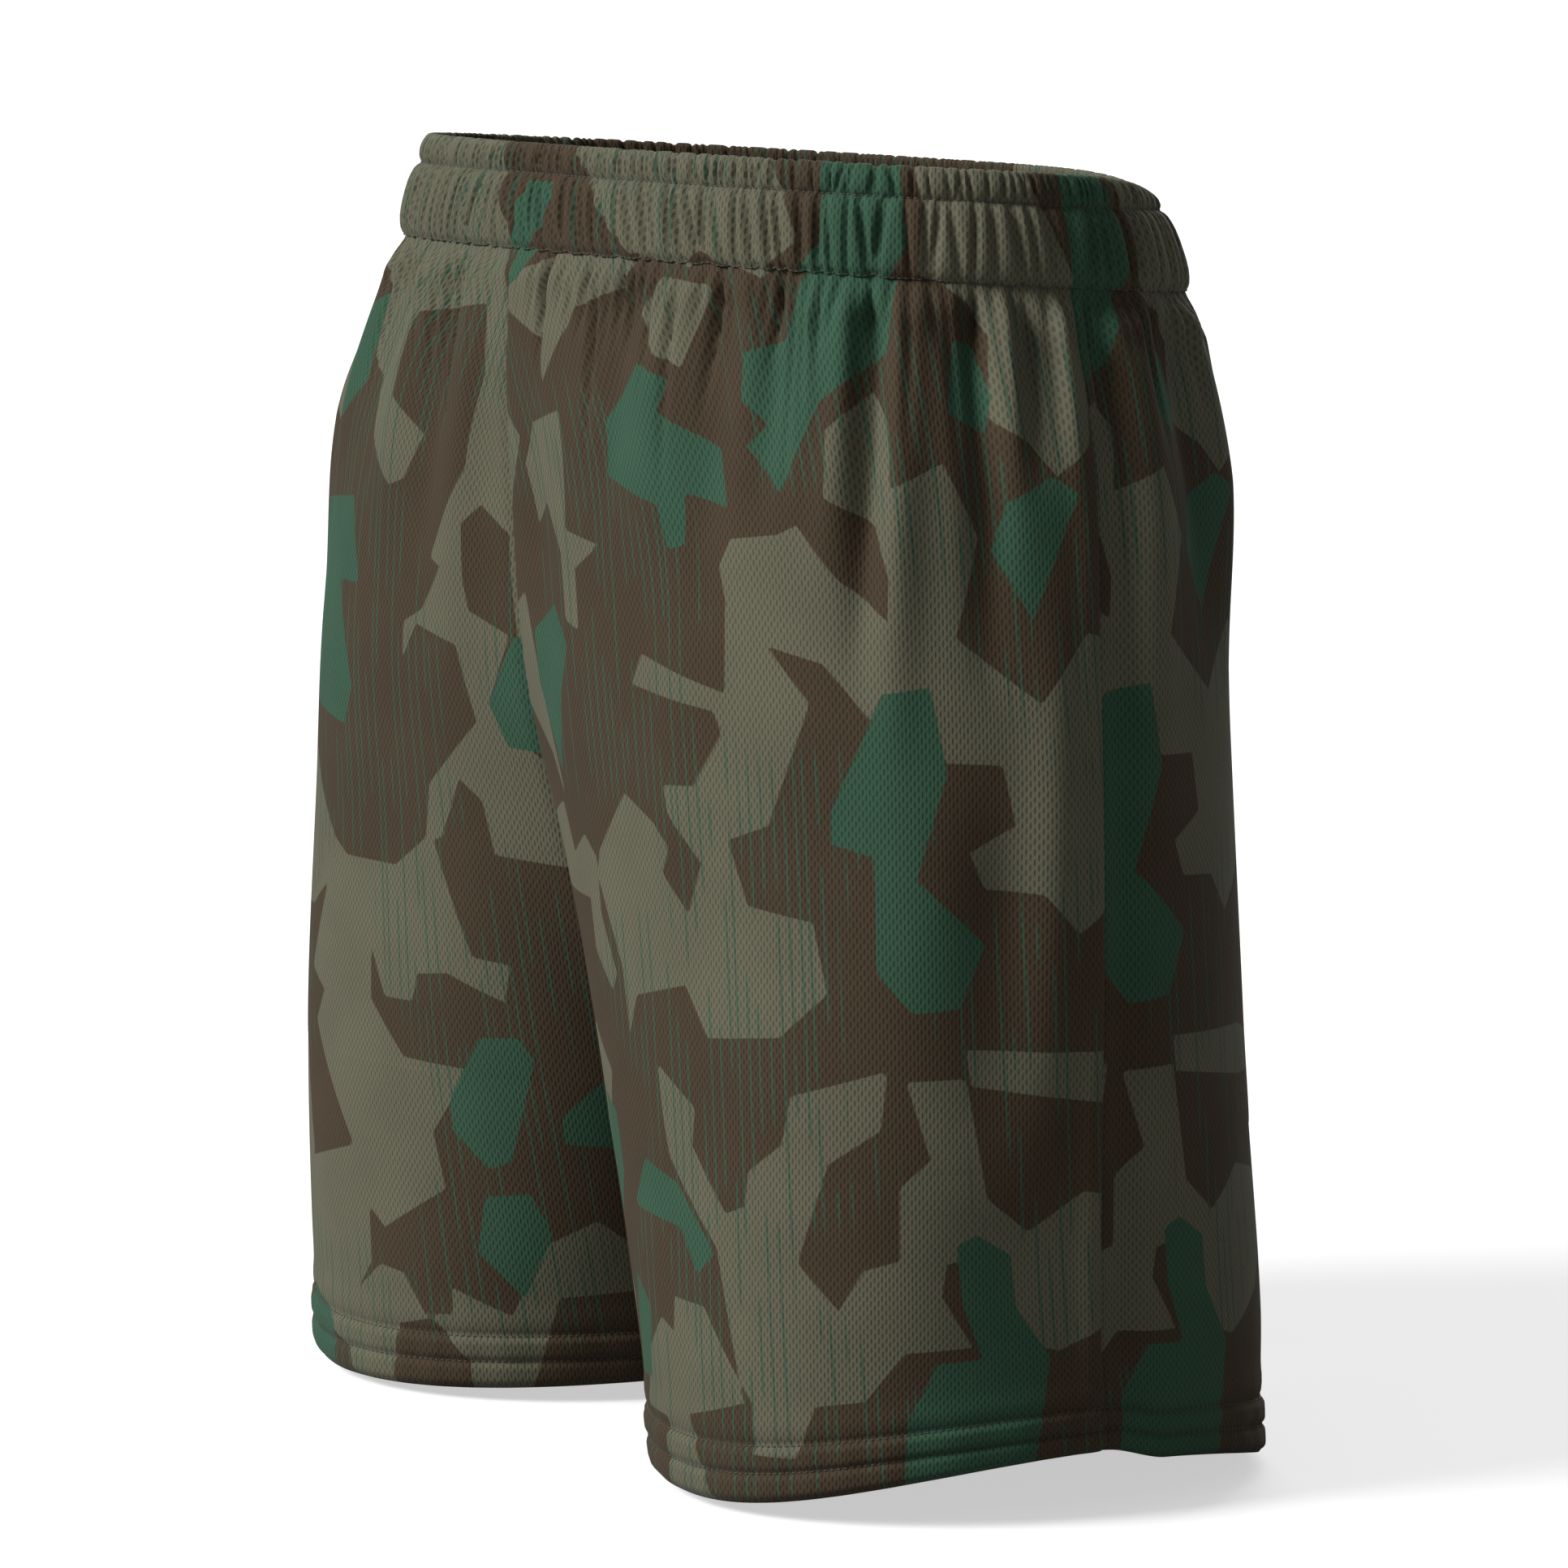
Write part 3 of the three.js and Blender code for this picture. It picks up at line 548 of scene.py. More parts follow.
def stitch_verts(path, outwards):
    """Stitches along a closed path: each is a short thread that dives into the cloth at both ends."""
    closed = np.concatenate([path, path[:1]])
    normals = np.concatenate([outwards, outwards[:1]])
    along = path_lengths(closed)
    count = int(along[-1] / STITCH_PITCH)
    centres = (np.arange(count) + 0.5) * along[-1] / count

    def at(places, values):
        return np.stack([np.interp(places % along[-1], along, values[:, k]) for k in range(3)], -1)

    half = STITCH_LENGTH / 2 * STITCH_PITCH
    middle, ahead, behind = at(centres, closed), at(centres + half, closed), at(centres - half, closed)
    tangent = (ahead - behind) / np.linalg.norm(ahead - behind, axis=1)[:, None]
    normal = at(centres, normals)
    normal /= np.linalg.norm(normal, axis=1)[:, None]
    across = np.cross(tangent, normal)
    verts = []
    for reach, width, lift in STITCH_RINGS:
        ring_centre = middle + tangent * reach * half + normal * lift * THREAD
        for turn in np.arange(STITCH_SIDES) * 2 * math.pi / STITCH_SIDES:
            spoke = across * math.cos(turn) + normal * math.sin(turn)
            verts.append(ring_centre + spoke * width * THREAD)
    return np.stack(verts, 1)


def stitch_piece(name, loops, node):
    """One piece of all the stitches along some closed paths, each path given with its outward directions."""
    verts = np.concatenate([stitch_verts(path, outwards) for path, outwards in loops])
    wall = grid_quads(len(STITCH_RINGS), STITCH_SIDES, ring=True)
    size = len(STITCH_RINGS) * STITCH_SIDES
    faces = []
    for first in range(0, len(verts) * size, size):
        faces += (wall + first).tolist()
        faces.append(list(range(first, first + STITCH_SIDES))[::-1])
        faces.append(list(range(first + size - STITCH_SIDES, first + size)))
    piece = new_piece(name, verts.reshape(-1, 3).tolist(), faces, thread)
    declare(piece, "shorts", node)


# ---- materials
class Nodes:
    """Short names for building a node tree."""

    def __init__(self, name):
        self.material = bpy.data.materials.new(name)
        self.material.use_nodes = True
        self.tree = self.material.node_tree
        self.shader = self.tree.nodes["Principled BSDF"]

    def put(self, socket, value):
        if isinstance(value, bpy.types.NodeSocket):
            self.tree.links.new(value, socket)
        else:
            socket.default_value = value

    def node(self, kind, out=0, settings=None, **inputs):
        made = self.tree.nodes.new(kind)
        for key, value in (settings or {}).items():
            setattr(made, key, value)
        for key, value in inputs.items():
            self.put(made.inputs[key], value)
        return made.outputs[out]

    def math(self, operation, *values):
        made = self.tree.nodes.new("ShaderNodeMath")
        made.operation = operation
        for socket, value in zip(made.inputs, values):
            self.put(socket, value)
        return made.outputs[0]

    def times(self, first, second):
        return self.math("MULTIPLY", first, second)

    def plus(self, first, second):
        return self.math("ADD", first, second)

    def attribute(self, name, out="Fac"):
        return self.node("ShaderNodeAttribute", out, {"attribute_name": name})

    def split(self, vector):
        """A vector's three parts."""
        made = self.tree.nodes.new("ShaderNodeSeparateXYZ")
        self.put(made.inputs[0], vector)
        return made.outputs[:]

    def place(self):
        """Object coordinates, which are the frame's own coordinates."""
        return self.node("ShaderNodeTexCoord", "Object")

    def step(self, value, low, high, to_low=0.0, to_high=1.0):
        made = self.tree.nodes.new("ShaderNodeMapRange")
        made.interpolation_type = "SMOOTHSTEP"
        for socket, given in zip(made.inputs, (value, low, high, to_low, to_high)):
            self.put(socket, given)
        return made.outputs[0]

    def blend(self, share, first, second, kind="MIX"):
        made = self.tree.nodes.new("ShaderNodeMix")
        made.data_type = "RGBA"
        made.blend_type = kind
        self.put(made.inputs[0], share)
        self.put(made.inputs[6], first)
        self.put(made.inputs[7], second)
        return made.outputs[2]

    def noise(self, vector, scale, detail=2.0):
        return self.node("ShaderNodeTexNoise", Vector=vector, Scale=scale, Detail=detail)

    def grey(self, level):
        return self.node("ShaderNodeCombineColor", Red=level, Green=level, Blue=level)

    def shaded(self, colour, level):
        """A colour made lighter or darker by a factor."""
        return self.blend(1.0, colour, self.grey(level), "MULTIPLY")

    def bump(self, height, strength, distance):
        normal = self.node("ShaderNodeBump", Height=height, Strength=strength, Distance=distance)
        self.put(self.shader.inputs["Normal"], normal)

    def finish(self, colour, roughness, sheen=0.0, specular=0.3):
        self.put(self.shader.inputs["Base Color"], colour)
        self.shader.inputs["Roughness"].default_value = roughness
        self.shader.inputs["Sheen Weight"].default_value = sheen
        self.shader.inputs["Sheen Roughness"].default_value = 0.45
        self.shader.inputs["Specular IOR Level"].default_value = specular
        return self.material


def rgb(red, green, blue):
    return (red, green, blue, 1.0)


KHAKI_COLOUR = rgb(0.112, 0.109, 0.073)
BROWN_COLOUR = rgb(0.056, 0.040, 0.024)
GREEN_COLOUR = rgb(0.035, 0.084, 0.052)
REVERSE_COLOUR = rgb(0.16, 0.15, 0.125)
ELASTIC_COLOUR = rgb(0.62, 0.60, 0.55)
SATIN_COLOUR = rgb(0.70, 0.69, 0.65)
PATCH_EDGE_MM = 0.35             # half the width over which a patch's edge blends
KNIT_COLUMN_MM, KNIT_PITCH_MM = 1.45, 4.0
EYELET_HALF_WIDTH_MM, EYELET_HALF_HEIGHT_MM = 0.42, 1.25
RAIN_PITCH_MM, RAIN_LEAN, RAIN_STRENGTH = 5.2, 0.05, 0.75
REVERSE_SHARE = 0.42             # how far the print's reverse side is paler
ELASTIC_RIB = 0.0022


def eyelet(tree, x, y):
    """A mesh knit's upright slots in staggered columns: 1 in the middle of a slot, 0 between them."""
    column = tree.math("DIVIDE", x, KNIT_COLUMN_MM * MM)
    row = tree.math("DIVIDE", y, KNIT_PITCH_MM * MM)
    row = tree.plus(row, tree.times(tree.math("FLOOR", column), 0.5))
    across = tree.math("SUBTRACT", tree.math("FRACT", column), 0.5)
    down = tree.math("SUBTRACT", tree.math("FRACT", row), 0.5)
    across = tree.times(across, KNIT_COLUMN_MM / EYELET_HALF_WIDTH_MM)
    down = tree.times(down, KNIT_PITCH_MM / EYELET_HALF_HEIGHT_MM)
    square = tree.plus(tree.times(across, across), tree.times(down, down))
    return tree.step(square, 0.2, 1.7, 1.0, 0.0)


def rain(tree, strip, x, y):
    """Thin broken upright strokes that fall over parts of the print."""
    leaning = tree.plus(x, tree.times(y, RAIN_LEAN))
    place = tree.math("DIVIDE", leaning, RAIN_PITCH_MM * MM)
    column = tree.math("FLOOR", place)
    chance = tree.node("ShaderNodeTexWhiteNoise", 0, {"noise_dimensions": "1D"}, W=column)
    spot = tree.plus(0.25, tree.times(chance, 0.5))
    middle = tree.math("ABSOLUTE", tree.math("SUBTRACT", tree.math("FRACT", place), spot))
    line = tree.step(middle, 0.07, 0.14, 1.0, 0.0)
    key = tree.node("ShaderNodeCombineXYZ", X=tree.times(column, 7.31), Y=tree.times(y, 15))
    lengths = tree.step(tree.noise(key, 1.0, 1.0), 0.44, 0.50)
    zones = tree.step(tree.noise(strip, 9.0, 1.0), 0.42, 0.50)
    return tree.times(line, tree.times(lengths, zones))


def camouflage_material():
    tree = Nodes("camouflage_mesh")
    strip = tree.attribute("strip", "Vector")
    x, y, _ = tree.split(strip)
    slot = eyelet(tree, x, y)
    grain = tree.noise(strip, 1500.0, 3.0)
    in_khaki = tree.step(tree.attribute("khaki"), -PATCH_EDGE_MM, PATCH_EDGE_MM)
    in_green = tree.step(tree.attribute("green"), -PATCH_EDGE_MM, PATCH_EDGE_MM)
    colour = tree.blend(in_khaki, BROWN_COLOUR, KHAKI_COLOUR)
    colour = tree.blend(tree.times(rain(tree, strip, x, y), RAIN_STRENGTH), colour, GREEN_COLOUR)
    colour = tree.blend(in_green, colour, GREEN_COLOUR)
    colour = tree.blend(tree.times(tree.attribute("reverse"), REVERSE_SHARE), colour, REVERSE_COLOUR)
    # Painted shade and light: the eyelet hollows are darkened and the yarn between them lightened; grain and
    # slow noise below are the cloth's own tone
    shade = tree.step(slot, 0.0, 1.0, 1.10, 0.70)
    shade = tree.times(shade, tree.step(grain, 0.25, 0.75, 0.90, 1.08))
    shade = tree.times(shade, tree.step(tree.noise(strip, 24.0), 0.3, 0.7, 0.95, 1.05))
    tree.bump(tree.math("SUBTRACT", tree.times(grain, 0.5), slot), 0.5, 0.0004)
    return tree.finish(tree.shaded(colour, shade), 0.85, sheen=0.05, specular=0.12)


def plain_cloth_material(name, colour, pitch, strength):
    """Solid-coloured knit, with eyelets at a pitch in metres and a bump of the given strength."""
    tree = Nodes(name)
    x, y, z = tree.split(tree.place())
    across = tree.math("SINE", tree.times(tree.plus(x, y), 2 * math.pi / pitch))
    down = tree.math("SINE", tree.times(z, 2 * math.pi / pitch))
    knit = tree.times(across, down)
    grain = tree.noise(tree.place(), 900.0, 3.0)
    # Painted shade: the knit's eyelet hollows are darkened; the grain factor is the yarn's own tone
    shade = tree.times(tree.step(knit, -0.9, 0.1, 0.6, 1.0), tree.step(grain, 0.2, 0.8, 0.85, 1.12))
    tree.bump(tree.plus(knit, grain), strength, 0.0004)
    return tree.finish(tree.shaded(colour, shade), 0.85, sheen=0.1, specular=0.2)


def thread_material(name, colour):
    """Spun polyester thread: fine plies round the stitch."""
    tree = Nodes(name)
    plies = tree.node("ShaderNodeTexWave", 1, Vector=tree.place(), Scale=900.0, Distortion=1.5)
    # Painted shade and highlight: the grooves between the plies are darker and their crests lighter
    shade = tree.step(plies, 0.1, 0.9, 0.7, 1.15)
    tree.bump(plies, 0.4, 0.0001)
    return tree.finish(tree.shaded(colour, shade), 0.55, sheen=0.2, specular=0.4)


def elastic_material():
    """Woven elastic: upright ribs, with a fine weave across them."""
    tree = Nodes("woven_elastic")
    x, y, z = tree.split(tree.place())
    ribs = tree.math("SINE", tree.times(z, 2 * math.pi / ELASTIC_RIB))
    weave = tree.math("SINE", tree.times(tree.plus(x, y), 4500))
    # Painted shade: the troughs between the ribs and the hollows of the weave are darkened
    shade = tree.step(tree.plus(ribs, tree.times(weave, 0.4)), -1.2, 1.0, 0.72, 1.0)
    tree.bump(tree.plus(ribs, tree.times(weave, 0.5)), 0.6, 0.0004)
    return tree.finish(tree.shaded(ELASTIC_COLOUR, shade), 0.7, sheen=0.1, specular=0.3)


def satin_material():
    """Blank satin label: a fine weave with the sheen of its floats."""
    tree = Nodes("label_satin")
    weave = tree.node("ShaderNodeTexWave", 1, Vector=tree.place(), Scale=420.0, Distortion=0.6)
    grain = tree.noise(tree.place(), 700.0)
    # Painted shade: the weave's hollows are a little darker; the grain factor is the satin's own tone
    shade = tree.times(tree.step(weave, 0.0, 1.0, 0.93, 1.0), tree.step(grain, 0.2, 0.8, 0.94, 1.03))
    tree.bump(tree.plus(weave, grain), 0.15, 0.0002)
    return tree.finish(tree.shaded(SATIN_COLOUR, shade), 0.38, sheen=0.25, specular=0.5)


camouflage = camouflage_material()
seam_cloth = plain_cloth_material("overlocked_allowance", rgb(0.105, 0.098, 0.076), 0.0011, 0.6)
pocket_cloth = plain_cloth_material("pocket_mesh", rgb(0.052, 0.048, 0.038), 0.0026, 0.8)
thread = thread_material("polyester_thread", rgb(0.052, 0.048, 0.036))
elastic = elastic_material()
satin = satin_material()


# ---- panels and hems
PANEL_COLUMNS = 220
PANEL_ROWS = 170
HEM_ROWS = 26
HEM_FACING_ROWS, HEM_FACING_COLUMNS = 20, 150
PANEL_TOP = BAND - 0.0006        # tucked just behind the waistband
HEM_TOP = OUTSEAM - HEM
SEAM_ALLOWANCE = 0.010
GATHER_FULLNESS = 0.22           # extra width at the waist that the gathers take up
FACING_GAP = 0.0002


def panel_depths():
    """Even rows down to the hem, close ones over its ribs, and some that close in on the crotch."""
    return np.sort(np.concatenate([
        np.linspace(PANEL_TOP, HEM_TOP - 0.003, PANEL_ROWS, endpoint=False),
        np.linspace(HEM_TOP - 0.003, OUTSEAM, HEM_ROWS),
        CROTCH - 0.006 * np.linspace(1, 0, 8) ** 2,
    ]))


def cut_size(depths):
    """A panel's flat cut with its allowances: its widest row, its length and its area."""
    _, lengths = even_rows(-depths, 3)
    fullness = 1 + GATHER_FULLNESS * (1 - smooth(depths, BAND, 0.200))
    widths = lengths * fullness + 2 * SEAM_ALLOWANCE
    height = depths[-1] - depths[0] + SEAM_ALLOWANCE
    area = np.trapz(widths, depths) + SEAM_ALLOWANCE * widths[0]
    return (round(float(widths.max()), 3), round(float(height), 3)), round(float(area), 4)


def make_panel(hand, face):
    depths = panel_depths()
    outer, outwards, seam_mm, depth_mm = panel_surface(hand, face, depths, PANEL_COLUMNS)
    fields = print_fields(hand, face, seam_mm, depth_mm)
    inner = outer - outwards * CLOTH
    piece = cloth_piece(f"{face}_panel_cloth_{hand}", outer, inner, camouflage, fields)
    declare(piece, "shorts", f"{face}_panel_{hand}")
    flat, area = cut_size(depths)


def join_leg(front, back):
    """Rows right round one leg from the rows of its two panels, without repeating the seams."""
    return np.concatenate([front, back[:, -2:0:-1]], axis=1)


def leg_ring(hand, depths, columns):
    """The points and outward directions of the panels right round one leg."""
    front = panel_surface(hand, "front", depths, columns)
    back = panel_surface(hand, "back", depths, columns)
    return join_leg(front[0], back[0]), join_leg(front[1], back[1])


def make_hem(hand):
    """The turned-up facing inside a leg's hem."""
    depths = np.linspace(HEM_TOP, OUTSEAM, HEM_FACING_ROWS)
    points, outwards = leg_ring(hand, depths, HEM_FACING_COLUMNS)
    front, back = (
        print_fields(hand, face, *panel_surface(hand, face, depths, HEM_FACING_COLUMNS)[2:]) for face in FACES
    )
    fields = {key: join_leg(front[key], back[key]) for key in front}
    top_curl = bell(depths - depths[0], 0.002, 0.0004)[:, None, None]
    outer = points - outwards * (CLOTH + FACING_GAP + top_curl)
    inner = outer - outwards * CLOTH
    piece = cloth_piece(f"hem_facing_{hand}", outer, inner, camouflage, fields, ring=True)
    declare(piece, "shorts", f"hem_{hand}")


def make_hem_stitches(hand):
    """Two stitch rows, each seen on the face of the hem and again on the facing inside."""
    for row, height in HEM_STITCHES.items():
        points, outwards = (grid[0] for grid in leg_ring(hand, np.array([OUTSEAM - height]), 260))
        face = points + outwards * 0.0001
        inside = points - outwards * (2 * CLOTH + 0.0003)
        stitch_piece(f"hem_stitches_{row}_{hand}", [(face, outwards), (inside, -outwards)],
                     f"hem_stitch_{row}_{hand}")


# ---- waistband
# The folded casing in cross-section, from the outer wall's lower edge over the top to the inner wall's:
# distance out from the body's surface and height below the rim, in mm, and how strongly it is ruffled.
CASING = np.array([
    (0.3, 42.4, 0.35), (0.8, 41.5, 0.5), (2.1, 39, 0.85), (3.4, 34, 1.0), (3.9, 27, 1.0), (3.6, 19, 1.0),
    (2.5, 14, 0.85), (1.1, 12, 0.5), (0.7, 11, 0.4), (1.2, 10, 0.6), (2.1, 8, 0.9), (2.5, 4.5, 1.0),
    (2.0, 1.5, 0.8), (1.2, -0.5, 0.4), (0.0, -1.2, 0.3), (-1.2, -0.5, 0.4), (-1.9, 1.5, 0.6),
    (-2.2, 4.5, 0.7), (-2.0, 8, 0.6), (-1.5, 10, 0.4), (-1.2, 11, 0.3), (-1.6, 12, 0.45), (-2.6, 14, 0.8),
    (-3.9, 19, 1.0), (-4.3, 27, 1.0), (-3.9, 34, 1.0), (-2.8, 39, 0.7), (-1.6, 41.5, 0.3),
])
CASING_STEPS = 2                 # points between two of the outline's points
OUT, DOWN, RUFFLED = range(3)
# The least distance of a wall's face from the middle, which keeps it clear of the elastic.
LEAST_DEPTHS_MM, LEAST_MM = (10, 11, 12, 13.5, 39.5, 41.5), (1.2, 0.7, 0.8, 2.2, 2.2, 0.4)
# The rim sags at the left back corner: how much at which depth, where round the waist, and how widely.
SAG_DEPTHS_MM, SAG_MM = (-2, 11, 42), (6.8, 0.9, 0.0)
SAG_ANGLE, SAG_SPREAD = 0.75, 0.36
BAND_COLUMNS = 760
# The puffs of the header, and of the channel's outer and inner wall: pitch (mm), what is added to the
# casing's seed, lean and height (mm).
HEADER_PUFFS, OUTER_PUFFS, INNER_PUFFS = (3.7, 0, 0.0, 2.0), (6.8, 1, 0.10, 3.4), (6.8, 2, -0.05, 1.6)
CASING_SEEDS = {"front": 31, "back": 57}
CASING_CLOTH = 0.9 * CLOTH       # stretched over the elastic, so thinner


def smooth_outline(points, steps):
    """A Catmull-Rom curve through a list of points."""
    padded = np.concatenate([2 * points[:1] - points[1:2], points, 2 * points[-1:] - points[-2:-1]])
    made = []
    for k in range(len(points) - 1):
        a, b, c, d = padded[k:k + 4]
        for t in np.arange(steps) / steps:
            made.append(0.5 * (2 * b + (c - a) * t + (2 * a - 5 * b + 4 * c - d) * t**2
                               + (3 * b - a - 3 * c + d) * t**3))
    return np.array(made + [points[-1]])


def ruffles(along_mm, depth_mm, pitch, seed, lean, peak):
    """Upright puffs with narrow creases between them, unevenly spaced, each leaning a little."""
    generator = np.random.default_rng(seed)
    span = along_mm.max()
    height = np.zeros(np.broadcast(along_mm, depth_mm).shape)
    for centre in np.arange(pitch / 2, span, pitch):
        place = centre + generator.uniform(-0.28, 0.28) * pitch
        tilt = generator.normal(lean, 0.12)
        width = pitch * generator.uniform(0.16, 0.28)
        deep = generator.uniform(0.5, 1.5)
        height -= bell(along_mm - place - tilt * (depth_mm - 26), width, deep)
    return (height + 0.4) * peak


def casing_ruffle(face, outline, along, length_mm):
    """How far a casing's face is ruffled, in mm, flattened towards its two side seams."""
    depth_mm = outline[:, DOWN:RUFFLED]
    strength = outline[:, RUFFLED:]
    header, outer, inner = (
        ruffles(along, depth_mm, pitch, CASING_SEEDS[face] + extra, lean, peak)
        for pitch, extra, lean, peak in (HEADER_PUFFS, OUTER_PUFFS, INNER_PUFFS)
    )
    channel = np.where(outer_wall(outline)[:, None], outer, inner)
    in_channel = smooth(depth_mm, HEADER / MM - 1, HEADER / MM + 1.5)
    seam_mm = np.minimum(along, length_mm - along)
    ruffle = (header * (1 - in_channel) + channel * in_channel) * strength * smooth(seam_mm, 0, 9)
    return ruffle - bell(seam_mm, 1.4, 0.7) * strength, seam_mm


def outer_wall(outline):
    """Which of an outline's points are on its outer wall."""
    return np.arange(len(outline)) < len(outline) / 2


def clear_of_elastic(outline, swell):
    """A casing's swell in mm, pushed smoothly out to the least distance from the middle."""
    out = outline[:, OUT:DOWN]
    least = np.interp(outline[:, DOWN:RUFFLED], LEAST_DEPTHS_MM, LEAST_MM) * np.minimum(1, np.abs(out) / 1.2)
    spare = swell * np.sign(out) - least
    clear = least + 0.5 * (spare + np.hypot(spare, 0.5))
    return np.where(out == 0, swell, clear * np.sign(out))


def make_casing(face):
    """One half of the folded waistband; gives its face, its outward directions and its two stitched rows."""
    outline = smooth_outline(CASING, CASING_STEPS)
    quarter, lengths = even_rows(np.array([-BAND / 2]), BAND_COLUMNS // 2 + 1)
    angles = np.concatenate([quarter[0][::-1], quarter[0][1:]])
    is_right = np.arange(len(angles)) < BAND_COLUMNS // 2
    flip = np.where(is_right[:, None], [-1, 1, 1], [1, 1, 1])
    depth_mm = outline[:, DOWN:RUFFLED]
    points, outwards = body(-depth_mm * MM, FACES[face] * angles[None, :])
    if face == "back":
        sag_mm = ~is_right * bell(angles - SAG_ANGLE, SAG_SPREAD) * np.interp(depth_mm, SAG_DEPTHS_MM, SAG_MM)
        points = points - UP * (sag_mm * MM)[..., None]
    slope = np.gradient(outline[:, :RUFFLED], axis=0)
    slope /= np.linalg.norm(slope, axis=1)[:, None]
    facing_out, facing_up = -slope[:, DOWN:, None], -slope[:, :DOWN, None]
    length_mm = 2 * lengths[0] / MM
    along = np.linspace(0, length_mm, len(angles))[None, :]
    ruffle, seam_mm = casing_ruffle(face, outline, along, length_mm)
    swell = clear_of_elastic(outline, outline[:, OUT:DOWN] + ruffle * facing_out[..., 0])
    rise = np.clip(ruffle, -1, 1) * facing_up[..., 0]
    outer = points + outwards * (swell * MM)[..., None] + UP * (rise * MM)[..., None]
    inner = outer - CASING_CLOTH * (outwards * facing_out + UP * facing_up)
    seam_mm, print_mm = np.broadcast_arrays(seam_mm, np.abs(depth_mm))
    left, right = (print_fields(hand, face, seam_mm, print_mm) for hand in HANDS)
    fields = {
        key: np.where(is_right[:, None] if left[key].ndim == 3 else is_right, right[key], left[key])
        for key in left
    }
    piece = cloth_piece(f"waistband_casing_{face}", outer * flip, inner * flip, camouflage, fields)
    declare(piece, "shorts", f"waistband_{face}")
    from_stitch = np.abs(outline[:, DOWN] - HEADER / MM)
    dips = [int(np.argmin(np.where(outer_wall(outline) == side, from_stitch, 99))) for side in (True, False)]
    return outer * flip, outwards * flip, dips


def closed_loop(front, back):
    """One loop round the waist from two half rows that both run from the right side to the left."""
    return np.concatenate([front, back[::-1][1:-1]])


def make_waistband():
    front, front_out, dips = make_casing("front")
    back, back_out, _ = make_casing("back")
    loops = []
    for dip, sign in zip(dips, (1, -1)):
        outwards = closed_loop(front_out[dip], back_out[dip]) * sign
        loops.append((closed_loop(front[dip], back[dip]), outwards))
    stitch_piece("header_stitches", loops, "header_stitch")
    outwards = closed_loop(front_out[1], back_out[1])
    seam = closed_loop(front[1], back[1]) - outwards * 0.0001
    stitch_piece("waist_seam_stitches", [(seam, outwards)], "waist_seam_stitch")


# ---- seam allowances
OVERLOCK_PITCH_MM = 2.6
OVERLOCK_SWING = 0.07            # how far the overlocked edge wanders, as a share of the half width
RIDGE_MM, EDGE_MM = 0.35, 0.22   # the seam's ridge along the middle, the overlock's loops at the edges
ALLOWANCE_CLOTH = 0.0009
ALLOWANCE_COLUMNS = 9


def make_allowance(name, node, rows):
    """A folded seam allowance on a panel, along rows of (points, outward and across directions)."""
    points, outwards, across = (row[:, None, :] for row in rows)
    shares = np.linspace(-1, 1, ALLOWANCE_COLUMNS)[None, :]
    along = path_lengths(rows[0]) / MM
    overlock = np.sin(2 * math.pi * along / OVERLOCK_PITCH_MM)[:, None]
    ridge = bell(shares, 0.25, RIDGE_MM) + EDGE_MM * np.abs(shares) ** 4 * overlock
    reach = shares * (1 + OVERLOCK_SWING * overlock) * SEAM_ALLOWANCE / 2
    outer = points + across * reach[..., None] - outwards * (CLOTH + 0.0003)
    inner = outer - outwards * (ALLOWANCE_CLOTH + ridge * MM)[..., None]
    piece = cloth_piece(name, outer, inner, seam_cloth)
    declare(piece, "shorts", node)


def seam_rows(hand, depths, column):
    """Points down a quarter's edge column, 0 for the inner edge and -1 for the side seam."""
    points, outwards, _, _ = panel_surface(hand, "front", depths, 60)
    at, out = points[:, column], outwards[:, column]
    down = np.gradient(at, axis=0)
    across = np.cross(down, out)
    return at, out, across / np.linalg.norm(across, axis=1)[:, None]


def make_allowances():
    above_hem = HEM_TOP - 0.001
    for hand in HANDS:
        side = seam_rows(hand, np.linspace(BAND + 0.002, above_hem, 400), -1)
        make_allowance(f"side_allowance_{hand}", f"side_seam_{hand}", side)
        inseam = seam_rows(hand, np.linspace(CROTCH + 0.006, above_hem, 110), 0)
        make_allowance(f"inseam_allowance_{hand}", f"inseam_{hand}", inseam)
    for face, node in (("front", "centre_front_seam"), ("back", "centre_back_seam")):
        depths = np.linspace(BAND + 0.002, -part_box(node)[0].z, 300)
        at = panel_surface("left", face, depths, 60)[0][:, 0] * [0, 1, 1]
        out = np.zeros_like(at) + [0, FACES[face], 0]
        across = np.zeros_like(at) + [1, 0, 0]
        make_allowance(f"centre_allowance_{face}", node, (at, out, across))


# ---- pockets and label
POCKET_TOP, POCKET_BOTTOM = 0.062, 0.232
POCKET_REACH, POCKET_EDGE = 0.128, 0.009
POCKET_LAYERS = {"outer": 0.0070, "inner": 0.0092}
POCKET_CLOTH = 0.0008
POCKET_ROWS, POCKET_COLUMNS = 90, 70
POCKET_RIPPLE_MM, POCKET_BEAD_MM = 0.25, 0.14
POCKET_STITCH = (1.2, 0.18)      # the groove of the seam round the bag: half width and depth (mm)
LABEL_CLOTH = 0.0004
LABEL_CURL, LABEL_BOW = 0.0016, 0.0012
LABEL_TAB_INSET = 0.0025         # from the band's back face in to the seam that holds the tab
LABEL_GAP = 0.0003               # between the tab and the label, so that the label turns freely


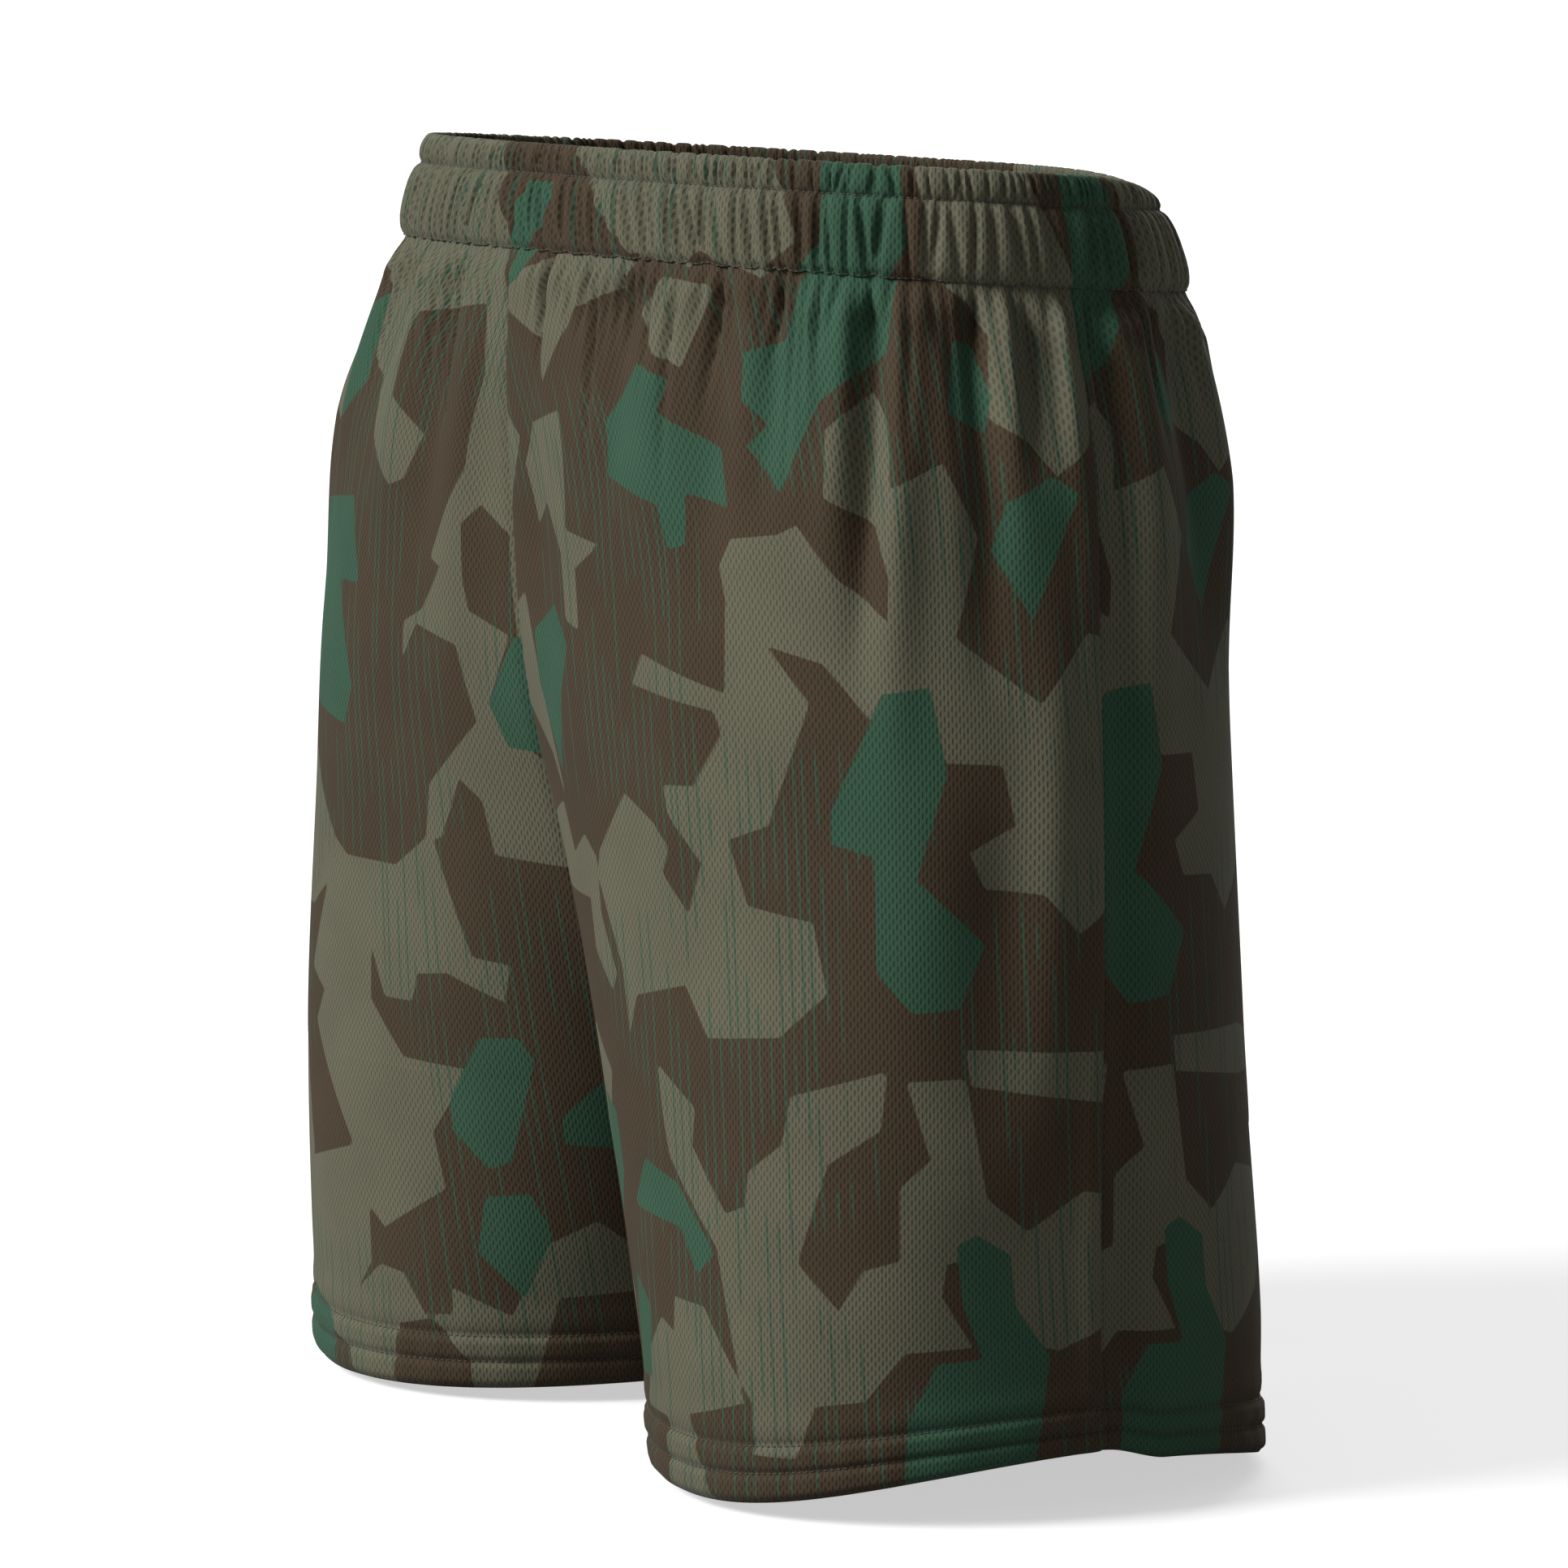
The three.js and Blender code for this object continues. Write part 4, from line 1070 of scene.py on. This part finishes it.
def make_pocket_layer(hand, layer):
    """One layer of a side pocket's bag, which hangs from the side seam inside the front panel."""
    share = np.linspace(0, 1, POCKET_ROWS)[:, None]
    z = -(POCKET_TOP + (POCKET_BOTTOM - POCKET_TOP) * share)
    reach = POCKET_REACH * (0.55 + 0.45 * np.sin(math.pi * np.minimum(1, share * 0.9 + 0.1)))
    radius = section(z)[..., DEPTH] / 2
    along = POCKET_EDGE + (reach - POCKET_EDGE) * np.linspace(0, 1, POCKET_COLUMNS)[None, :]
    along_mm = along / MM
    points, outwards = body(z, -along / radius)
    edge_mm = np.minimum(along - along[:, :1], along[:, -1:] - along) / MM
    edge_mm = np.minimum(edge_mm, share * (1 - share) * 4 * 40)
    ripple = POCKET_RIPPLE_MM * np.sin(along_mm / 7 + 3 * share) * np.sin(5 * share + along_mm / 23)
    beads = POCKET_BEAD_MM * np.sin((z / MM + along_mm) * 2.2) * bell(edge_mm, 2.5)
    stitched = -bell(edge_mm - 5, *POCKET_STITCH)
    depth = POCKET_LAYERS[layer] - (ripple * smooth(edge_mm, 0, 8) + beads + stitched) * MM
    flip = np.array([HANDS[hand], 1, 1])
    outer = (points - outwards * depth[..., None]) * flip
    inner = outer - outwards * flip * POCKET_CLOTH
    piece = cloth_piece(f"pocket_bag_{layer}_{hand}", outer, inner, pocket_cloth)
    declare(piece, f"{hand}_pocket", f"pocket_{layer}_{hand}")


def make_label():
    """A blank satin label that hangs behind the waist seam, curling a little at its lower corners."""
    low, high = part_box("care_label")
    down, across = np.meshgrid(np.linspace(0, 1, 60), np.linspace(-1, 1, 46), indexing="ij")
    x = (low.x + high.x) / 2 + (high.x - low.x) / 2 * across
    z = high.z - (high.z - low.z) * down
    curl = -LABEL_CURL * down**3 * across**2 - LABEL_BOW * np.sin(math.pi * down) * np.cos(1.2 * across)
    outer = np.stack([x, low.y + curl + LABEL_CLOTH / 2, z], -1)
    inner = outer.copy()
    inner[..., 1] -= LABEL_CLOTH + bell(down - 0.05, 0.02, 0.00018)
    piece = cloth_piece("label_satin", outer, inner, satin)
    declare(piece, "label", "care_label")


def make_label_tab():
    """The label's sewn end, which comes out of the waist seam and stays there when the label flips."""
    low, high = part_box("care_label")
    band_low, band_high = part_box("waistband_back")
    down, x = np.meshgrid(np.linspace(0, 1, 14), np.linspace(low.x, high.x, 30), indexing="ij")
    seam_y = band_high.y - LABEL_TAB_INSET
    y = seam_y + (high.y + LABEL_GAP - seam_y) * down**0.7
    z = band_low.z + (high.z + LABEL_GAP - band_low.z) * down**2
    outer = np.stack([x, y, z], -1)
    piece = cloth_piece("label_tab", outer, outer - UP * LABEL_CLOTH, satin)
    declare(piece, "shorts")


# ---- stage, light and camera
WHITE = rgb(1.0, 1.0, 1.0)
FLOOR_Z = cad_box[0].z - 0.004
FLOOR_HALF = 60.0
FLOOR_LEVELS, FLOOR_GLOW = (0.30, 0.60), 0.55
WORLD_LEVELS = (0.20, 1.0)       # as light on the cloth, and as seen behind it
# Suns: name, the direction it shines from, strength, spread in degrees.
SUNS = (("key", (-0.22, -0.97, 0.66), 3.8, 26), ("rear", (-0.85, 0.75, 0.8), 1.6, 40))
CAMERA_AZIMUTH, CAMERA_ELEVATION = math.radians(58.22), math.radians(7.25)
CAMERA_DISTANCE, CAMERA_SIDESTEP = 3.117, 0.0063
CAMERA_TARGET = Vector((0, -0.005, -0.2553))
LENS_MM, SENSOR_MM = 175.42, 36.0


def make_stage():
    """A wide pale floor, brighter to the camera than to the cloth."""
    corners = [(x * FLOOR_HALF, y * FLOOR_HALF, FLOOR_Z) for x, y in ((-1, -1), (1, -1), (1, 1), (-1, 1))]
    tree = Nodes("pale_floor")
    tone = tree.step(tree.noise(tree.place(), 0.8), 0.3, 0.7, 0.99, 1.0)
    seen = tree.node("ShaderNodeLightPath", "Is Camera Ray")
    level = tree.times(tone, tree.step(seen, 0.0, 1.0, *FLOOR_LEVELS))
    tree.shader.inputs["Emission Color"].default_value = WHITE
    tree.put(tree.shader.inputs["Emission Strength"], tree.times(seen, FLOOR_GLOW))
    material = tree.finish(tree.grey(level), 0.9, specular=0.0)
    new_piece("floor", corners, [(0, 1, 2, 3)], material)


def make_light():
    """Soft suns, and a white world that lights the cloth less than it shows behind it."""
    world = bpy.data.worlds.new("studio")
    world.use_nodes = True
    nodes, links = world.node_tree.nodes, world.node_tree.links
    background = nodes["Background"]
    path, level = nodes.new("ShaderNodeLightPath"), nodes.new("ShaderNodeMapRange")
    level.inputs["To Min"].default_value, level.inputs["To Max"].default_value = WORLD_LEVELS
    links.new(path.outputs["Is Camera Ray"], level.inputs["Value"])
    links.new(level.outputs[0], background.inputs["Strength"])
    background.inputs["Color"].default_value = WHITE
    bpy.context.scene.world = world
    for name, direction, strength, spread in SUNS:
        data = bpy.data.lights.new(name, "SUN")
        data.energy, data.angle = strength, math.radians(spread)
        add_object(name, data).rotation_euler = Vector(direction).to_track_quat("Z", "Y").to_euler()
    bpy.context.scene.view_settings.view_transform = "Standard"


def make_camera():
    level = math.cos(CAMERA_ELEVATION)
    right = Vector((math.cos(CAMERA_AZIMUTH), math.sin(CAMERA_AZIMUTH), 0))
    towards = Vector((right.y * level, -right.x * level, math.sin(CAMERA_ELEVATION)))
    place = CAMERA_TARGET + right * CAMERA_SIDESTEP + towards * CAMERA_DISTANCE
    data = bpy.data.cameras.new("camera")
    data.lens, data.sensor_width, data.clip_end = LENS_MM, SENSOR_MM, 200.0
    camera = add_object("camera", data)
    camera.matrix_world = Matrix.Translation(place) @ towards.to_track_quat("Z", "Y").to_matrix().to_4x4()
    bpy.context.scene.camera = camera


# ---- assembly
make_camera()
make_light()
make_stage()
for hand in HANDS:
    for face in FACES:
        make_panel(hand, face)
    make_hem(hand)
    make_hem_stitches(hand)
    for layer in POCKET_LAYERS:
        make_pocket_layer(hand, layer)
make_waistband()
make_allowances()
make_label()
make_label_tab()
elastic_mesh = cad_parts["waistband_elastic"].data
elastic_mesh.materials.clear()
elastic_mesh.materials.append(elastic)
